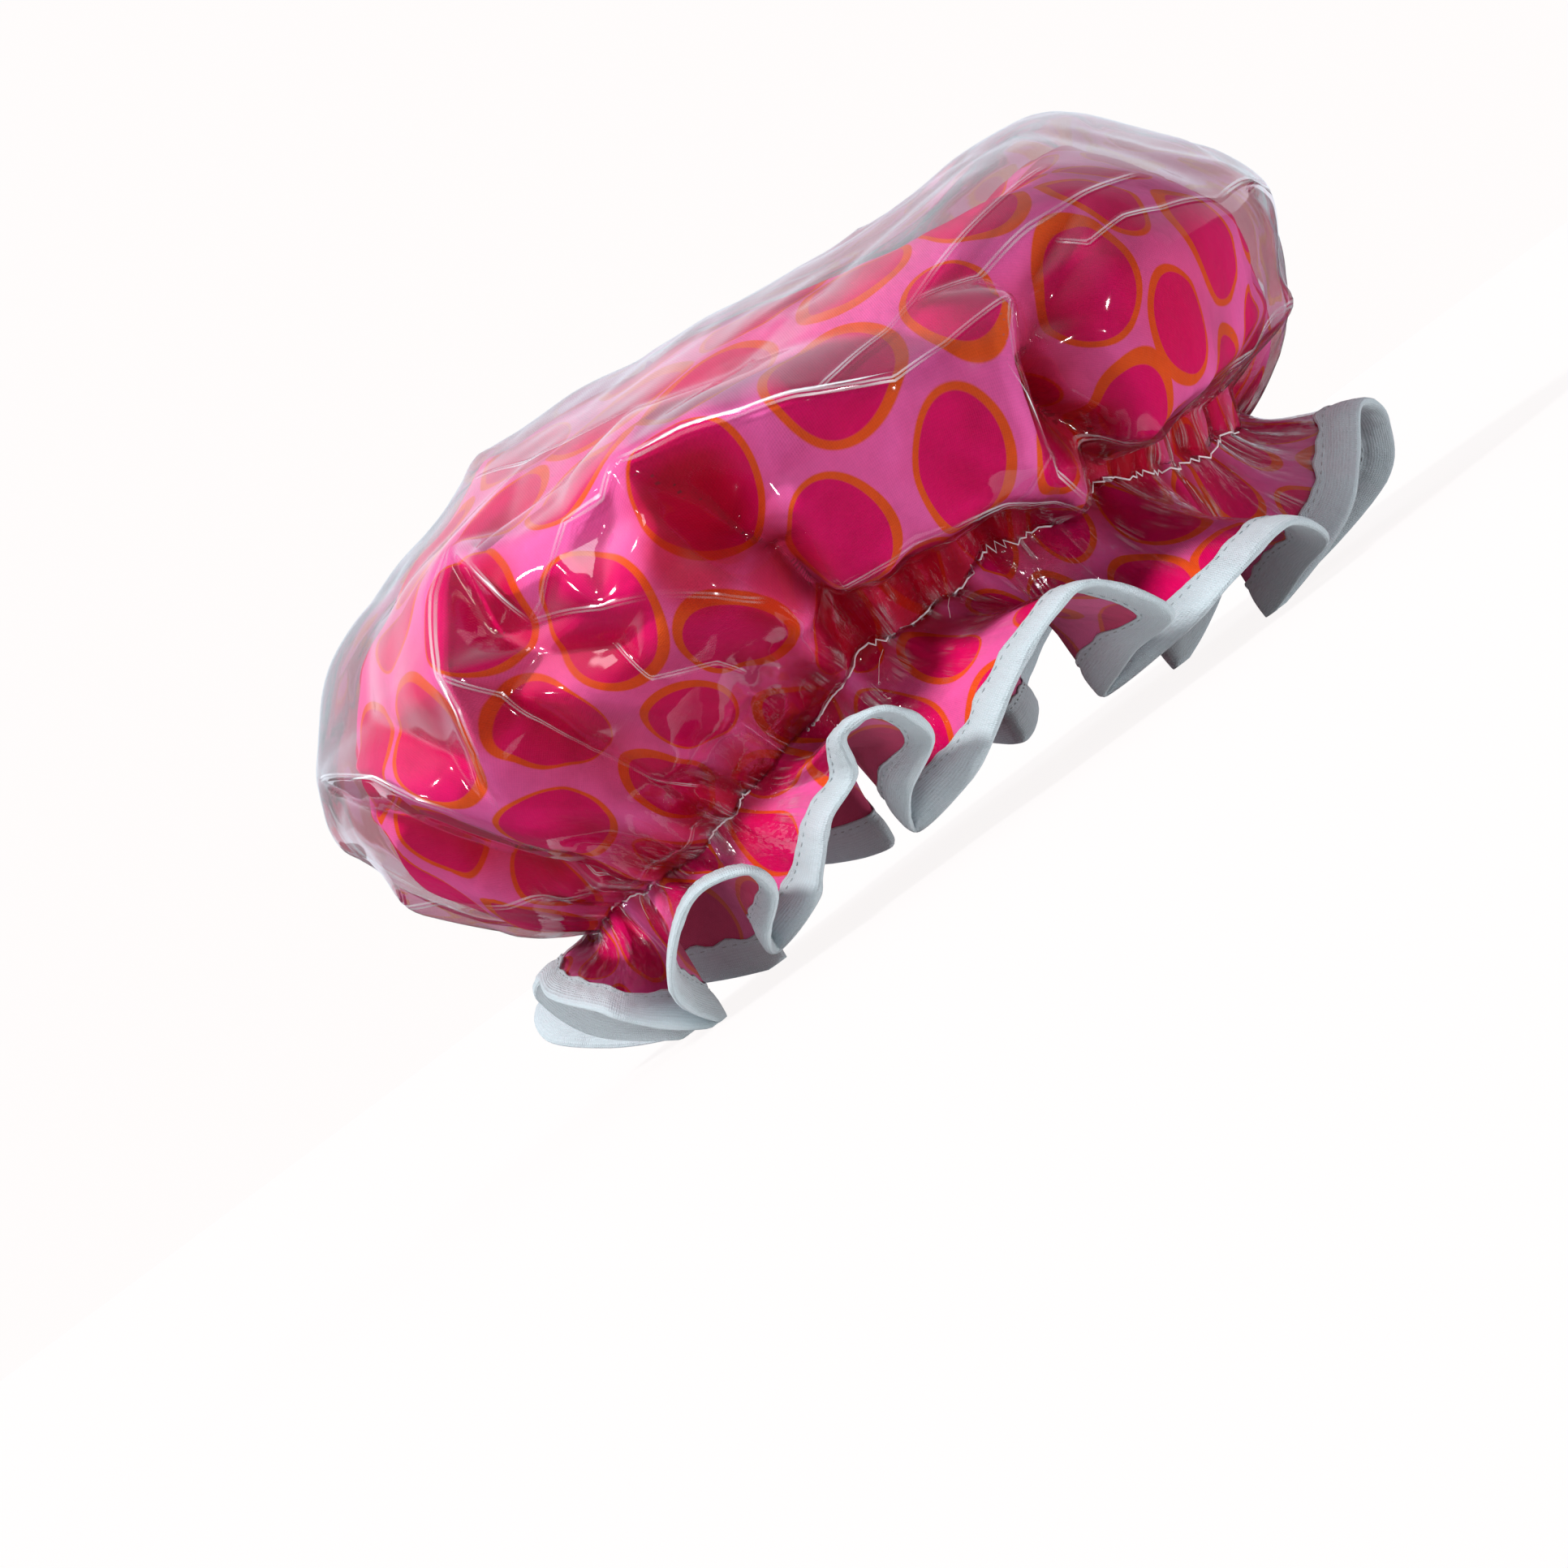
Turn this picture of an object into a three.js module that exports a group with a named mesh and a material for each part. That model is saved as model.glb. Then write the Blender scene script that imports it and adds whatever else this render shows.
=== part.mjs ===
// Shower cap: clear film over printed cloth, drawn in together on a hidden elastic, with a bound frill.
// Millimetres. The cap stands on its hem: +X is the forehead side, +Z goes up through the crown.
import * as THREE from 'three';

// Plan and height of the worn cap
const ringHalfLength = 110.5;
const ringHalfWidth = 82;
const ringHeight = 43;
const ringFrontRise = 3.5;
const ringSideRise = 9.5;
const crownHalfLength = 148;
const crownHalfWidth = 124;
const capHeight = 158.5;
const apexSetback = 8;

// Frill below the elastic
const frillReach = 42;
const lobeRise = 40;
const pleatDepth = 7;
const flareShare = 0.35;
const dropShare = 1.1;

// Creases of the puffed crown
const foldDepth = 12;
const foldReach = 40;

// Layers
const filmThickness = 0.4;
const clothThickness = 0.4;
const layerGap = 0.3;
const airGap = 13;

// Edge binding, a tape folded round both layers
const bindingWidth = 10;
const bindingThickness = 0.8;
const bindingGap = 0.35;
const footCut = 0.5;

// Elastic and threads
const elasticWidth = 5;
const elasticThickness = 0.8;
const elasticGap = 0.5;
const lapColumns = 3;
const gatherThreadRadius = 0.35;
const gatherGap = 1.2;
const gatherRise = 2.4;
const gatherFall = 0.3;
const seamThreadRadius = 0.3;
const seamInset = 1.6;
const threadGap = 0.4;

// Crown meridians from the elastic to the apex: swell towards the widest outline, scale, height.
const frontShares = [
  [0, 1, 0], [0.35, 1, 0.09], [0.72, 1, 0.2], [1, 1, 0.38], [1, 0.975, 0.53], [1, 0.9, 0.69],
  [1, 0.81, 0.84], [1, 0.7, 0.885], [1, 0.54, 0.86], [1, 0.36, 0.86], [1, 0.14, 0.93], [1, 0, 0.965],
];
const backShares = [
  [0, 1, 0], [0.33, 1, 0.09], [0.72, 1, 0.24], [1, 1, 0.46], [1, 0.985, 0.6], [1, 0.93, 0.71],
  [1, 0.84, 0.83], [1, 0.7, 0.895], [1, 0.52, 0.945], [1, 0.38, 0.99], [1, 0.17, 1], [1, 0, 0.965],
];
const sideShares = [
  [0, 1, 0], [0.4, 1, 0.07], [0.78, 1, 0.17], [1, 1, 0.32], [1, 0.985, 0.46], [1, 0.92, 0.6],
  [1, 0.81, 0.71], [1, 0.68, 0.79], [1, 0.52, 0.86], [1, 0.35, 0.91], [1, 0.15, 0.95], [1, 0, 0.965],
];

// Hem of the frill, one lobe a line, each from its valley: degrees round the head from the front,
// reach beyond the elastic and rise of the binding's middle. The second half is the hidden side.
// A valley with rise 0 stands on the floor.
const lobeShares = [
  [[23, -0.04, 0], [20.5, -0.02, 0], [11.5, 0.6, 0.16], [2.8, 0.7, 0.46],
    [-10.4, 0.57, 0.65], [-17.1, 0.42, 0.42], [-26, 0.28, 0.18]],
  [[-36.5, -0.1, 0], [-39, -0.1, 0], [-42.5, 0.3, 0.1], [-46.4, 0.72, 0.15], [-52.7, 0.91, 0.35],
    [-61.4, 0.94, 0.3], [-65.2, 0.7, 0.24], [-66.8, 0.3, 0.24]],
  [[-72.4, -0.06, 0.24], [-71.4, 0.39, 0.33], [-69.6, 0.9, 0.34], [-75.1, 1.08, 0.74], [-79.8, 1.06, 0.73],
    [-85.1, 0.87, 0.58], [-91.3, 0.57, 0.36], [-96.2, 0.26, 0.29]],
  [[-104, -0.03, 0.26], [-101.2, 0.33, 0.44], [-95.2, 0.73, 0.58], [-96.5, 1.02, 0.85], [-101.3, 0.88, 0.88],
    [-104.3, 0.57, 0.67], [-109.2, 0.54, 0.56], [-113.9, 0.42, 0.38], [-119.3, 0.25, 0.24]],
  [[-129.5, 0.06, 0.16], [-124.5, 0.41, 0.23], [-117.5, 0.72, 0.37], [-116.4, 0.93, 0.56],
    [-121.5, 0.93, 0.64], [-127.9, 0.8, 0.53], [-136.1, 0.6, 0.28]],
  [[-146, 0.1, 0], [-149, 0.1, 0], [-143.6, 0.66, 0.27], [-146.4, 0.72, 0.46], [-156.6, 0.6, 0.66],
    [-167.7, 0.4, 0.77], [-178, 0.42, 0.68], [-187, 0.34, 0.33]],
  [[-193, 0.04, 0], [-195.5, 0.02, 0], [-199, 0.5, 0.2], [-201.5, 0.86, 0.43], [-208, 0.98, 0.62],
    [-215, 0.84, 0.48], [-220, 0.4, 0.2]],
  [[-223.5, -0.02, 0], [-226, -0.02, 0], [-228, 0.45, 0.24], [-229, 0.86, 0.48], [-236, 1.03, 0.7],
    [-244, 0.88, 0.58], [-248.5, 0.42, 0.3]],
  [[-253, -0.04, 0.18], [-255.5, 0.4, 0.34], [-254.8, 0.86, 0.58], [-261, 1.06, 0.8], [-269, 0.95, 0.72],
    [-273.5, 0.5, 0.38]],
  [[-279, -0.05, 0.22], [-281.8, 0.42, 0.3], [-281.5, 0.92, 0.44], [-289, 1.02, 0.68], [-297, 0.88, 0.5],
    [-301.5, 0.42, 0.24]],
  [[-306, -0.05, 0], [-308.5, -0.05, 0], [-311, 0.4, 0.16], [-311.5, 0.8, 0.3], [-318, 0.92, 0.48],
    [-326, 0.78, 0.38], [-331, 0.35, 0.14]],
];

// Creases of the crown: places as degrees and height shares, then depth and reach above and below.
const creaseShares = [
  { line: [[-104, 0.56], [-94, 0.5], [-81, 0.42], [-70, 0.38]], depth: 0.7, above: 0.7, below: 0.8 },
  { line: [[-104, 0.55], [-113, 0.5], [-120, 0.4], [-106, 0.3], [-98, 0.19]], depth: 0.6, above: 0.5,
    below: 0.8 },
  { line: [[-103, 0.48], [-99, 0.35], [-97, 0.16], [-93, 0]], depth: -0.9, above: 0.7, below: 0.7 },
  { line: [[-98, 0.22], [-88, 0.16], [-76, 0.09], [-62, 0.03]], depth: 0.75, above: 0.7, below: 0.3 },
  { line: [[-136, 0.62], [-133, 0.46], [-134, 0.29], [-139, 0.18]], depth: 0.6, above: 0.45, below: 0.8 },
  { line: [[-134, 0.4], [-128, 0.25], [-121, 0.06]], depth: 0.5, above: 0.5, below: 0.5 },
  { line: [[-163, 0.39], [-150, 0.31], [-140, 0.15]], depth: 0.6, above: 0.7, below: 0.35 },
  { line: [[-155, 0.2], [-140, 0.1], [-126, 0.03]], depth: 0.5, above: 0.35, below: 0.4 },
  { line: [[-59, 0.38], [-66, 0.27], [-63, 0.08]], depth: 0.6, above: 0.35, below: 0.6 },
  { line: [[-54, 0.32], [-56, 0.18], [-58, 0.04]], depth: -0.8, above: 0.5, below: 0.35 },
  { line: [[-56, 0.09], [-38, 0.07], [-4, 0.1]], depth: 0.7, above: 0.7, below: 0.3 },
  { line: [[-119, 0.85], [-97, 0.64], [-81, 0.43]], depth: 0.3, above: 0.5, below: 0.5 },
  { line: [[-68, 0.46], [-50, 0.5], [-28, 0.46]], depth: 0.3, above: 0.5, below: 0.5 },
];
const mirroredTurn = 13;
const mirroredHeightShare = 0.93;

// Air between film and cloth: place, and its largest share at that place
const airShares = [
  { at: [-35, 0.62], share: 1, reach: 1.6 },
  { at: [30, 0.66], share: 0.8, reach: 1.4 },
  { at: [-10, 0.38], share: 0.5, reach: 0.9 },
  { at: [175, 0.42], share: 0.55, reach: 1.2 },
  { at: [-150, 0.62], share: 0.4, reach: 1.1 },
  { at: [130, 0.5], share: 0.45, reach: 1.1 },
];

// Shares of the crown's height at which folds, air and pleats start or end
const setbackFrom = 0.6;
const creaseFull = 0.12;
const airFull = 0.2;
const pleatEnd = 0.25;

// Crease profile: how thin it is at its ends, and how sharp its ridge is
const creaseEnd = 0.45;
const creasePower = 1.2;

const radians = THREE.MathUtils.degToRad;
const down = new THREE.Vector3(0, 0, -1);

function between(low, high, share) {
  return low + (high - low) * share;
}

function lerpRow(rows, share) {
  const place = Math.min(Math.max(share, 0), 1) * (rows.length - 1);
  const index = Math.min(Math.floor(place), rows.length - 2);
  const f = place - index;
  const pick = (step) => rows[Math.min(Math.max(index + step, 0), rows.length - 1)];
  const [before, start, end, after] = [pick(-1), pick(0), pick(1), pick(2)];
  return start.map((p1, k) => {
    const [p0, p2, p3] = [before[k], end[k], after[k]];
    const bend = 2 * p0 - 5 * p1 + 4 * p2 - p3;
    const twist = 3 * p1 - p0 - 3 * p2 + p3;
    return 0.5 * (2 * p1 + (p2 - p0) * f + bend * f * f + twist * f * f * f);
  });
}

function ringLevel(angle) {
  return ringHeight + ringFrontRise * Math.cos(angle) + ringSideRise * Math.sin(angle) ** 2;
}

// Smooth crown: angle in radians, share 0 at the elastic and 1 at the apex
function smoothCrown(angle, share) {
  const [c, s] = [Math.cos(angle), Math.sin(angle)];
  const long = lerpRow(c > 0 ? frontShares : backShares, share);
  const wide = lerpRow(sideShares, share);
  const halfLength = between(ringHalfLength, crownHalfLength, long[0]) * long[1];
  const halfWidth = between(ringHalfWidth, crownHalfWidth, wide[0]) * wide[1];
  const height = long[2] * c * c + wide[2] * s * s;
  const setback = apexSetback * Math.max((share - setbackFrom) / (1 - setbackFrom), 0) ** 1.5;
  const level = between(ringLevel(angle), capHeight, height);
  return new THREE.Vector3(halfLength * c - setback, halfWidth * s, level);
}

function crownNormal(angle, share) {
  const step = 0.01;
  const mid = smoothCrown(angle, share);
  const along = smoothCrown(angle + step, share).sub(mid);
  const up = smoothCrown(angle, Math.min(share + step, 1)).sub(smoothCrown(angle, share - step));
  const normal = along.cross(up);
  return normal.lengthSq() > 0 ? normal.normalize() : down.clone().negate();
}

function creasePath(crease, mirrored) {
  const points = crease.line.map(([degrees, share]) => {
    const turned = mirrored ? -degrees - mirroredTurn : degrees;
    return smoothCrown(radians(turned), mirrored ? share * mirroredHeightShare : share);
  });
  return { ...crease, points };
}

const creases = [
  ...creaseShares.map((crease) => creasePath(crease, false)),
  ...creaseShares.map((crease) => creasePath(crease, true)),
];

// Height of one tent-shaped crease over a point of the smooth crown
function creaseLift(crease, point) {
  const nearest = { distance: Infinity, rise: 0, end: 0 };
  const total = crease.points.length - 1;
  for (let i = 0; i < total; i += 1) {
    const segment = new THREE.Line3(crease.points[i], crease.points[i + 1]);
    const along = segment.closestPointToPointParameter(point, true);
    const foot = segment.at(along, new THREE.Vector3());
    const distance = foot.distanceTo(point);
    if (distance < nearest.distance) {
      nearest.distance = distance;
      nearest.rise = point.z - foot.z;
      nearest.end = Math.min(i + along, total - i - along);
    }
  }
  const reach = foldReach * (nearest.rise > 0 ? crease.above : crease.below);
  const slope = Math.max(1 - nearest.distance / reach, 0);
  const taper = between(creaseEnd, 1, Math.min(nearest.end, 1));
  return foldDepth * crease.depth * slope ** creasePower * taper;
}

function creased(angle, share) {
  const point = smoothCrown(angle, share);
  const lift = creases.reduce((sum, crease) => sum + creaseLift(crease, point), 0);
  const fade = Math.min(share / creaseFull, 1);
  return point.addScaledVector(crownNormal(angle, share), lift * fade);
}

// Distance between film and cloth: none at the elastic
function air(angle, share) {
  const point = smoothCrown(angle, share);
  const sum = airShares.reduce((total, pocket) => {
    const centre = smoothCrown(radians(pocket.at[0]), pocket.at[1]);
    const spread = foldReach * pocket.reach;
    return total + pocket.share * Math.exp(-((centre.distanceTo(point) / spread) ** 2));
  }, 0);
  return airGap * Math.min(sum, 1) * Math.min(share / airFull, 1);
}

// Columns: one for each hem point, with its place on the elastic spread evenly from valley to valley
const columns = [];
lobeShares.forEach((lobe, index) => {
  const next = lobeShares[(index + 1) % lobeShares.length];
  const nextDegrees = next[0][0] - (index + 1 === lobeShares.length ? 360 : 0);
  lobe.forEach(([degrees, reach, rise], step) => {
    const gathered = between(lobe[0][0], nextDegrees, step / lobe.length);
    columns.push({ hem: radians(degrees), ring: radians(gathered), reach, rise });
  });
});
const columnCount = columns.length;

// The elastic line swells under the lobes and is drawn in at the valleys
columns.forEach((column, index) => {
  const spread = 2;
  let sum = 0;
  for (let step = -spread; step <= spread; step += 1) {
    sum += columns[(index + step + columnCount) % columnCount].reach;
  }
  column.swell = sum / (2 * spread + 1) - 0.5;
});

const layers = filmThickness + clothThickness + layerGap;
const bindingInside = 0.5 * layers + bindingGap;
const bindingOutside = bindingInside + bindingThickness;
const bulgeShare = 1.1;
const standing = 0.5 * bindingWidth + bulgeShare * bindingOutside - footCut;

// Place on the elastic line, moved outwards from its oval and up or down
function besideRing(column, swell, outwards, up) {
  const outward = new THREE.Vector3(Math.cos(column.ring), Math.sin(column.ring), 0);
  const point = smoothCrown(column.ring, 0).addScaledVector(outward, pleatDepth * swell + outwards);
  point.z += up;
  return point;
}

function ringPoint(column) {
  return besideRing(column, column.swell, 0, 0);
}

// Frill frame at one column: middle of the binding, and the way the cloth runs there
function hemFrame(column) {
  const [c, s] = [Math.cos(column.hem), Math.sin(column.hem)];
  const outward = new THREE.Vector3(c, s, 0);
  const level = standing + lobeRise * column.rise;
  const middle = new THREE.Vector3(ringHalfLength * c, ringHalfWidth * s, level);
  middle.addScaledVector(outward, frillReach * column.reach);
  const heading = middle.clone().sub(ringPoint(column)).normalize();
  heading.addScaledVector(outward, flareShare * Math.max(column.reach, 0)).normalize();
  return { middle, heading };
}

// Frill rows: share 0 at the elastic, 1 at the inner edge of the binding, 2 at the cut edge
function frillPoint(column, share) {
  const { middle, heading } = hemFrame(column);
  const tapeEdge = middle.clone().addScaledVector(heading, -0.5 * bindingWidth);
  if (share > 1) {
    return tapeEdge.addScaledVector(heading, bindingWidth * (share - 1));
  }
  const start = ringPoint(column);
  const third = start.distanceTo(tapeEdge) / 3;
  const leave = heading.clone().addScaledVector(down, dropShare).normalize();
  const first = start.clone().addScaledVector(leave, third);
  const second = tapeEdge.clone().addScaledVector(heading, -third);
  return new THREE.CubicBezierCurve3(start, first, second, tapeEdge).getPoint(share);
}

// Rings of points from the cut edge up to the apex; each ring has all, a half or a quarter of the columns
const frillRowShares = [2, 1, 0.5];
const crownRows = [
  { share: 0.04, every: 1 }, { share: 0.1, every: 2 }, { share: 0.24, every: 2 }, { share: 0.38, every: 2 },
  { share: 0.52, every: 2 }, { share: 0.66, every: 2 }, { share: 0.82, every: 4 },
];

function sheetRings(withAir) {
  const rings = frillRowShares.map((share) => columns.map((column) => frillPoint(column, share)));
  rings.push(columns.map((column) => ringPoint(column)));
  crownRows.forEach(({ share, every }) => {
    const used = columns.filter((_, index) => index % every === 0);
    rings.push(used.map((column) => {
      const point = creased(column.ring, share);
      const drawn = pleatDepth * column.swell * Math.max(1 - share / pleatEnd, 0) ** 2;
      const normal = crownNormal(column.ring, share);
      const inset = withAir ? air(column.ring, share) : 0;
      return point.addScaledVector(normal, drawn - inset);
    }));
  });
  const top = creased(0, 1);
  rings.push([withAir ? top.addScaledVector(down, air(0, 1)) : top]);
  return rings;
}

// Triangles between neighbouring rings, which may have half as many points, facing outwards
function ringTriangles(rings) {
  const starts = [];
  rings.reduce((sum, ring) => {
    starts.push(sum);
    return sum + ring.length;
  }, 0);
  const triangles = [];
  for (let row = 0; row + 1 < rings.length; row += 1) {
    const [lower, upper] = [rings[row].length, rings[row + 1].length];
    const low = (i) => starts[row] + (i % lower);
    const high = (i) => starts[row + 1] + (i % upper);
    for (let i = 0; i < upper; i += 1) {
      if (upper === 1) {
        for (let j = 0; j < lower; j += 1) {
          triangles.push([low(j + 1), low(j), high(0)]);
        }
      } else if (lower === upper) {
        triangles.push([low(i + 1), low(i), high(i)], [low(i + 1), high(i), high(i + 1)]);
      } else {
        triangles.push([low(2 * i + 1), low(2 * i), high(i)], [low(2 * i + 1), high(i), high(i + 1)]);
        triangles.push([low(2 * i + 2), low(2 * i + 1), high(i + 1)]);
      }
    }
  }
  return triangles;
}

function vertexNormals(points, triangles) {
  const normals = points.map(() => new THREE.Vector3());
  triangles.forEach(([a, b, c]) => {
    const edge = points[b].clone().sub(points[a]);
    const normal = edge.cross(points[c].clone().sub(points[a])).normalize();
    [a, b, c].forEach((index) => normals[index].add(normal));
  });
  return normals.map((normal) => normal.normalize());
}

function geometryFrom(points, triangles) {
  const geometry = new THREE.BufferGeometry();
  const values = points.flatMap((point) => point.toArray());
  geometry.setAttribute('position', new THREE.Float32BufferAttribute(values, 3));
  geometry.setIndex(triangles.flat());
  geometry.computeVertexNormals();
  return geometry;
}

function sheet(withAir) {
  const rings = sheetRings(withAir);
  const points = rings.flat();
  const triangles = ringTriangles(rings);
  return { rings, points, triangles, normals: vertexNormals(points, triangles) };
}

// Closed shell between two offsets of a sheet, joined along the cut edge
function shell({ points, triangles, normals }, outer, inner) {
  const count = points.length;
  const moved = (offset) => points.map((p, index) => p.clone().addScaledVector(normals[index], offset));
  const faces = [...triangles, ...triangles.map(([a, b, c]) => [a + count, c + count, b + count])];
  for (let i = 0; i < columnCount; i += 1) {
    const next = (i + 1) % columnCount;
    faces.push([i, next, next + count], [i, next + count, i + count]);
  }
  return geometryFrom([...moved(outer), ...moved(inner)], faces);
}

// Body swept through sections with equally many points, closed in a loop or capped at both ends.
// Where turned says so, a strip between two sections is cut along its other diagonal.
function swept(sections, closed, turned = () => false) {
  const width = sections[0].length;
  const count = sections.length;
  const triangles = [];
  const at = (section, point) => (section % count) * width + (point % width);
  for (let i = 0; i < (closed ? count : count - 1); i += 1) {
    for (let k = 0; k < width; k += 1) {
      const [a, b, c, d] = [at(i, k), at(i + 1, k), at(i + 1, k + 1), at(i, k + 1)];
      if (turned(i, k)) {
        triangles.push([a, b, c], [a, c, d]);
      } else {
        triangles.push([a, b, d], [d, b, c]);
      }
    }
  }
  for (let k = 1; !closed && k + 1 < width; k += 1) {
    triangles.push([at(0, 0), at(0, k), at(0, k + 1)]);
    triangles.push([at(count - 1, 0), at(count - 1, k + 1), at(count - 1, k)]);
  }
  return geometryFrom(sections.flat(), triangles);
}

const film = sheet(false);
const cloth = sheet(true);

// Cut edge of the sheet at one column, with the inner edge of the binding above it
const hemFrames = columns.map((column, index) => {
  const [edge, inner] = [film.points[index], film.points[index + columnCount]];
  const [edgeSide, innerSide] = [film.normals[index], film.normals[index + columnCount]];
  return { edge, inner, edgeSide, innerSide, heading: edge.clone().sub(inner).normalize() };
});

// Place beside the sheet: to its film side, and past the cut edge or back along the sheet
function onHem(frame, side, past) {
  const share = Math.max(-past, 0) / bindingWidth;
  const point = frame.edge.clone().lerp(frame.inner, share);
  const normal = frame.edgeSide.clone().lerp(frame.innerSide, share);
  return point.addScaledVector(normal, side).addScaledVector(frame.heading, Math.max(past, 0));
}

const [inside, outside, back] = [bindingInside, bindingOutside, -bindingWidth + layerGap];
const bindingOutline = [
  [outside, back], [outside, 0], [0.75 * outside, 0.9 * outside], [0, bulgeShare * outside],
  [-0.75 * outside, 0.9 * outside], [-outside, 0], [-outside, back], [-inside, back], [-inside, 0],
  [0, inside], [inside, 0], [inside, back],
];

function binding() {
  const sections = hemFrames.map((frame) => bindingOutline.map(([side, past]) => {
    const point = onHem(frame, side, past);
    point.z = Math.max(point.z, 0);
    return point;
  }));
  const after = (k) => bindingOutline[(k + 1) % bindingOutline.length];
  return swept(sections, true, (_, k) => after(k)[1] > bindingOutline[k][1]);
}

function threadSection(centre, along, across, radius) {
  const side = across.clone().addScaledVector(along, -across.dot(along)).normalize();
  const other = along.clone().cross(side).normalize();
  return [[1, 0], [0, -1], [-1, 0], [0, 1]].map(([a, b]) => {
    return centre.clone().addScaledVector(side, a * radius).addScaledVector(other, b * radius);
  });
}

function threadLoop(points, normals, radius) {
  const sections = points.map((point, index) => {
    const next = points[(index + 1) % points.length];
    const previous = points[(index + points.length - 1) % points.length];
    const along = next.clone().sub(previous).normalize();
    return threadSection(point, along, normals[index], radius);
  });
  return swept(sections, true);
}

// Place beside the facets just above (rise > 0) or below the elastic line of a sheet
function nearRing({ points, normals }, index, rise, lift) {
  const ring = frillRowShares.length * columnCount + (index % columnCount);
  const beside = ring + Math.sign(rise) * columnCount;
  const share = rise === 0 ? 0 : Math.abs(rise) / points[ring].distanceTo(points[beside]);
  const normal = normals[ring].clone().lerp(normals[beside], share).normalize();
  return points[ring].clone().lerp(points[beside], share).addScaledVector(normal, lift);
}

// Zigzag thread in the groove between crown and frill
function gatherThread() {
  const lift = 0.5 * layers + gatherGap + gatherThreadRadius;
  const places = columns.flatMap((_, index) => {
    const middle = nearRing(film, index, 0, lift).lerp(nearRing(film, index + 1, 0, lift), 0.5);
    return [nearRing(film, index, index % 2 === 0 ? gatherRise : -gatherFall, lift), middle];
  });
  const ringNormals = film.normals.slice(frillRowShares.length * columnCount);
  return threadLoop(places, places.map((_, i) => ringNormals[Math.floor(i / 2)]), gatherThreadRadius);
}

// Running stitch on the face of the tape, over each column and each facet edge between columns
function seamThread() {
  const lift = bindingOutside + threadGap + seamThreadRadius;
  const past = seamInset - bindingWidth;
  const share = -past / bindingWidth;
  const places = hemFrames.flatMap((frame, index) => {
    const next = hemFrames[(index + 1) % columnCount];
    const cross = frame.inner.clone().lerp(next.edge, 1 - share);
    const crossNormal = frame.innerSide.clone().lerp(next.edgeSide, 1 - share);
    return [
      { point: onHem(frame, lift, past), normal: frame.innerSide },
      { point: cross.addScaledVector(crossNormal, lift), normal: crossNormal },
    ];
  });
  return threadLoop(places.map(({ point }) => point), places.map(({ normal }) => normal), seamThreadRadius);
}

// Flat elastic inside the drawn-in cloth; its last columns lie inside its first and are sewn there
function elasticBand() {
  const drawnIn = Math.min(...columns.map(({ swell }) => swell));
  const face = -0.5 * layers - elasticGap;
  const sections = [];
  for (let i = 0; i < columnCount + lapColumns; i += 1) {
    const outer = i < columnCount ? face : face - elasticThickness - elasticGap;
    const inner = outer - elasticThickness;
    const column = columns[i % columnCount];
    const place = (outwards, up) => besideRing(column, drawnIn, outwards, up * elasticWidth);
    sections.push([place(outer, 0.5), place(outer, -0.5), place(inner, -0.5), place(inner, 0.5)]);
  }
  return swept(sections, false);
}

const finishes = {
  film: { color: 0xdfe3ea, roughness: 0.08, metalness: 0, transparent: true, opacity: 0.35 },
  print: { color: 0xd84a98, roughness: 0.8, metalness: 0 },
  tape: { color: 0xe9ecea, roughness: 0.9, metalness: 0 },
  elastic: { color: 0xf2efe8, roughness: 0.85, metalness: 0 },
  thread: { color: 0xf3dfe6, roughness: 0.6, metalness: 0 },
};

const cap = new THREE.Group();

function add(name, geometry, finish) {
  const mesh = new THREE.Mesh(geometry, new THREE.MeshStandardMaterial(finishes[finish]));
  mesh.name = name;
  cap.add(mesh);
}

add('outer_film', shell(film, 0.5 * layers, 0.5 * layerGap), 'film');
add('printed_fabric', shell(cloth, -0.5 * layerGap, -0.5 * layers), 'print');
add('elastic_band', elasticBand(), 'elastic');
add('gather_stitch', gatherThread(), 'thread');
add('edge_binding', binding(), 'tape');
add('binding_stitch', seamThread(), 'thread');

// The origin is the middle of the footprint
const footprint = new THREE.Box3().setFromObject(cap).getCenter(new THREE.Vector3());
cap.position.set(-footprint.x, -footprint.y, 0);

export default cap;
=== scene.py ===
"""Shower cap: clear film over printed cotton, drawn in on a hidden elastic, with a bound frill."""

import logging
import math
from collections.abc import Callable
from dataclasses import dataclass, field
from enum import Enum
from functools import cached_property

import bpy
import numpy as np
from mathutils import Matrix, Vector
from mathutils.geometry import delaunay_2d_cdt


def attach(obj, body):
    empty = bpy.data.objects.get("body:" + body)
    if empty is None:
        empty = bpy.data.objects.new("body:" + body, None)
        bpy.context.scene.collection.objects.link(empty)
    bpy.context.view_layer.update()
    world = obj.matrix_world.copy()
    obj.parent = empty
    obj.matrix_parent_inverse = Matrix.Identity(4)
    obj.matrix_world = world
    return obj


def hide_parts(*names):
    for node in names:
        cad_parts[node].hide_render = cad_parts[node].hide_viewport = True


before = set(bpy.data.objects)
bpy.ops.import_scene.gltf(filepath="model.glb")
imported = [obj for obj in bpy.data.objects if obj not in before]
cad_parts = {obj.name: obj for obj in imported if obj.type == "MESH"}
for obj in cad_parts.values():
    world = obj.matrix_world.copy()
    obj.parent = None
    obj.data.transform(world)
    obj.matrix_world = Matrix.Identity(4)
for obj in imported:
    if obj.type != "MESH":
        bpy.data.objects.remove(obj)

LOG = logging.getLogger("shower_cap")
MM = 0.001
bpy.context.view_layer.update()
THREAD_SIDES = 6


class Layer(Enum):
    """The two layers that are sewn together at the elastic."""

    FILM = "film"
    CLOTH = "cloth"


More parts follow.
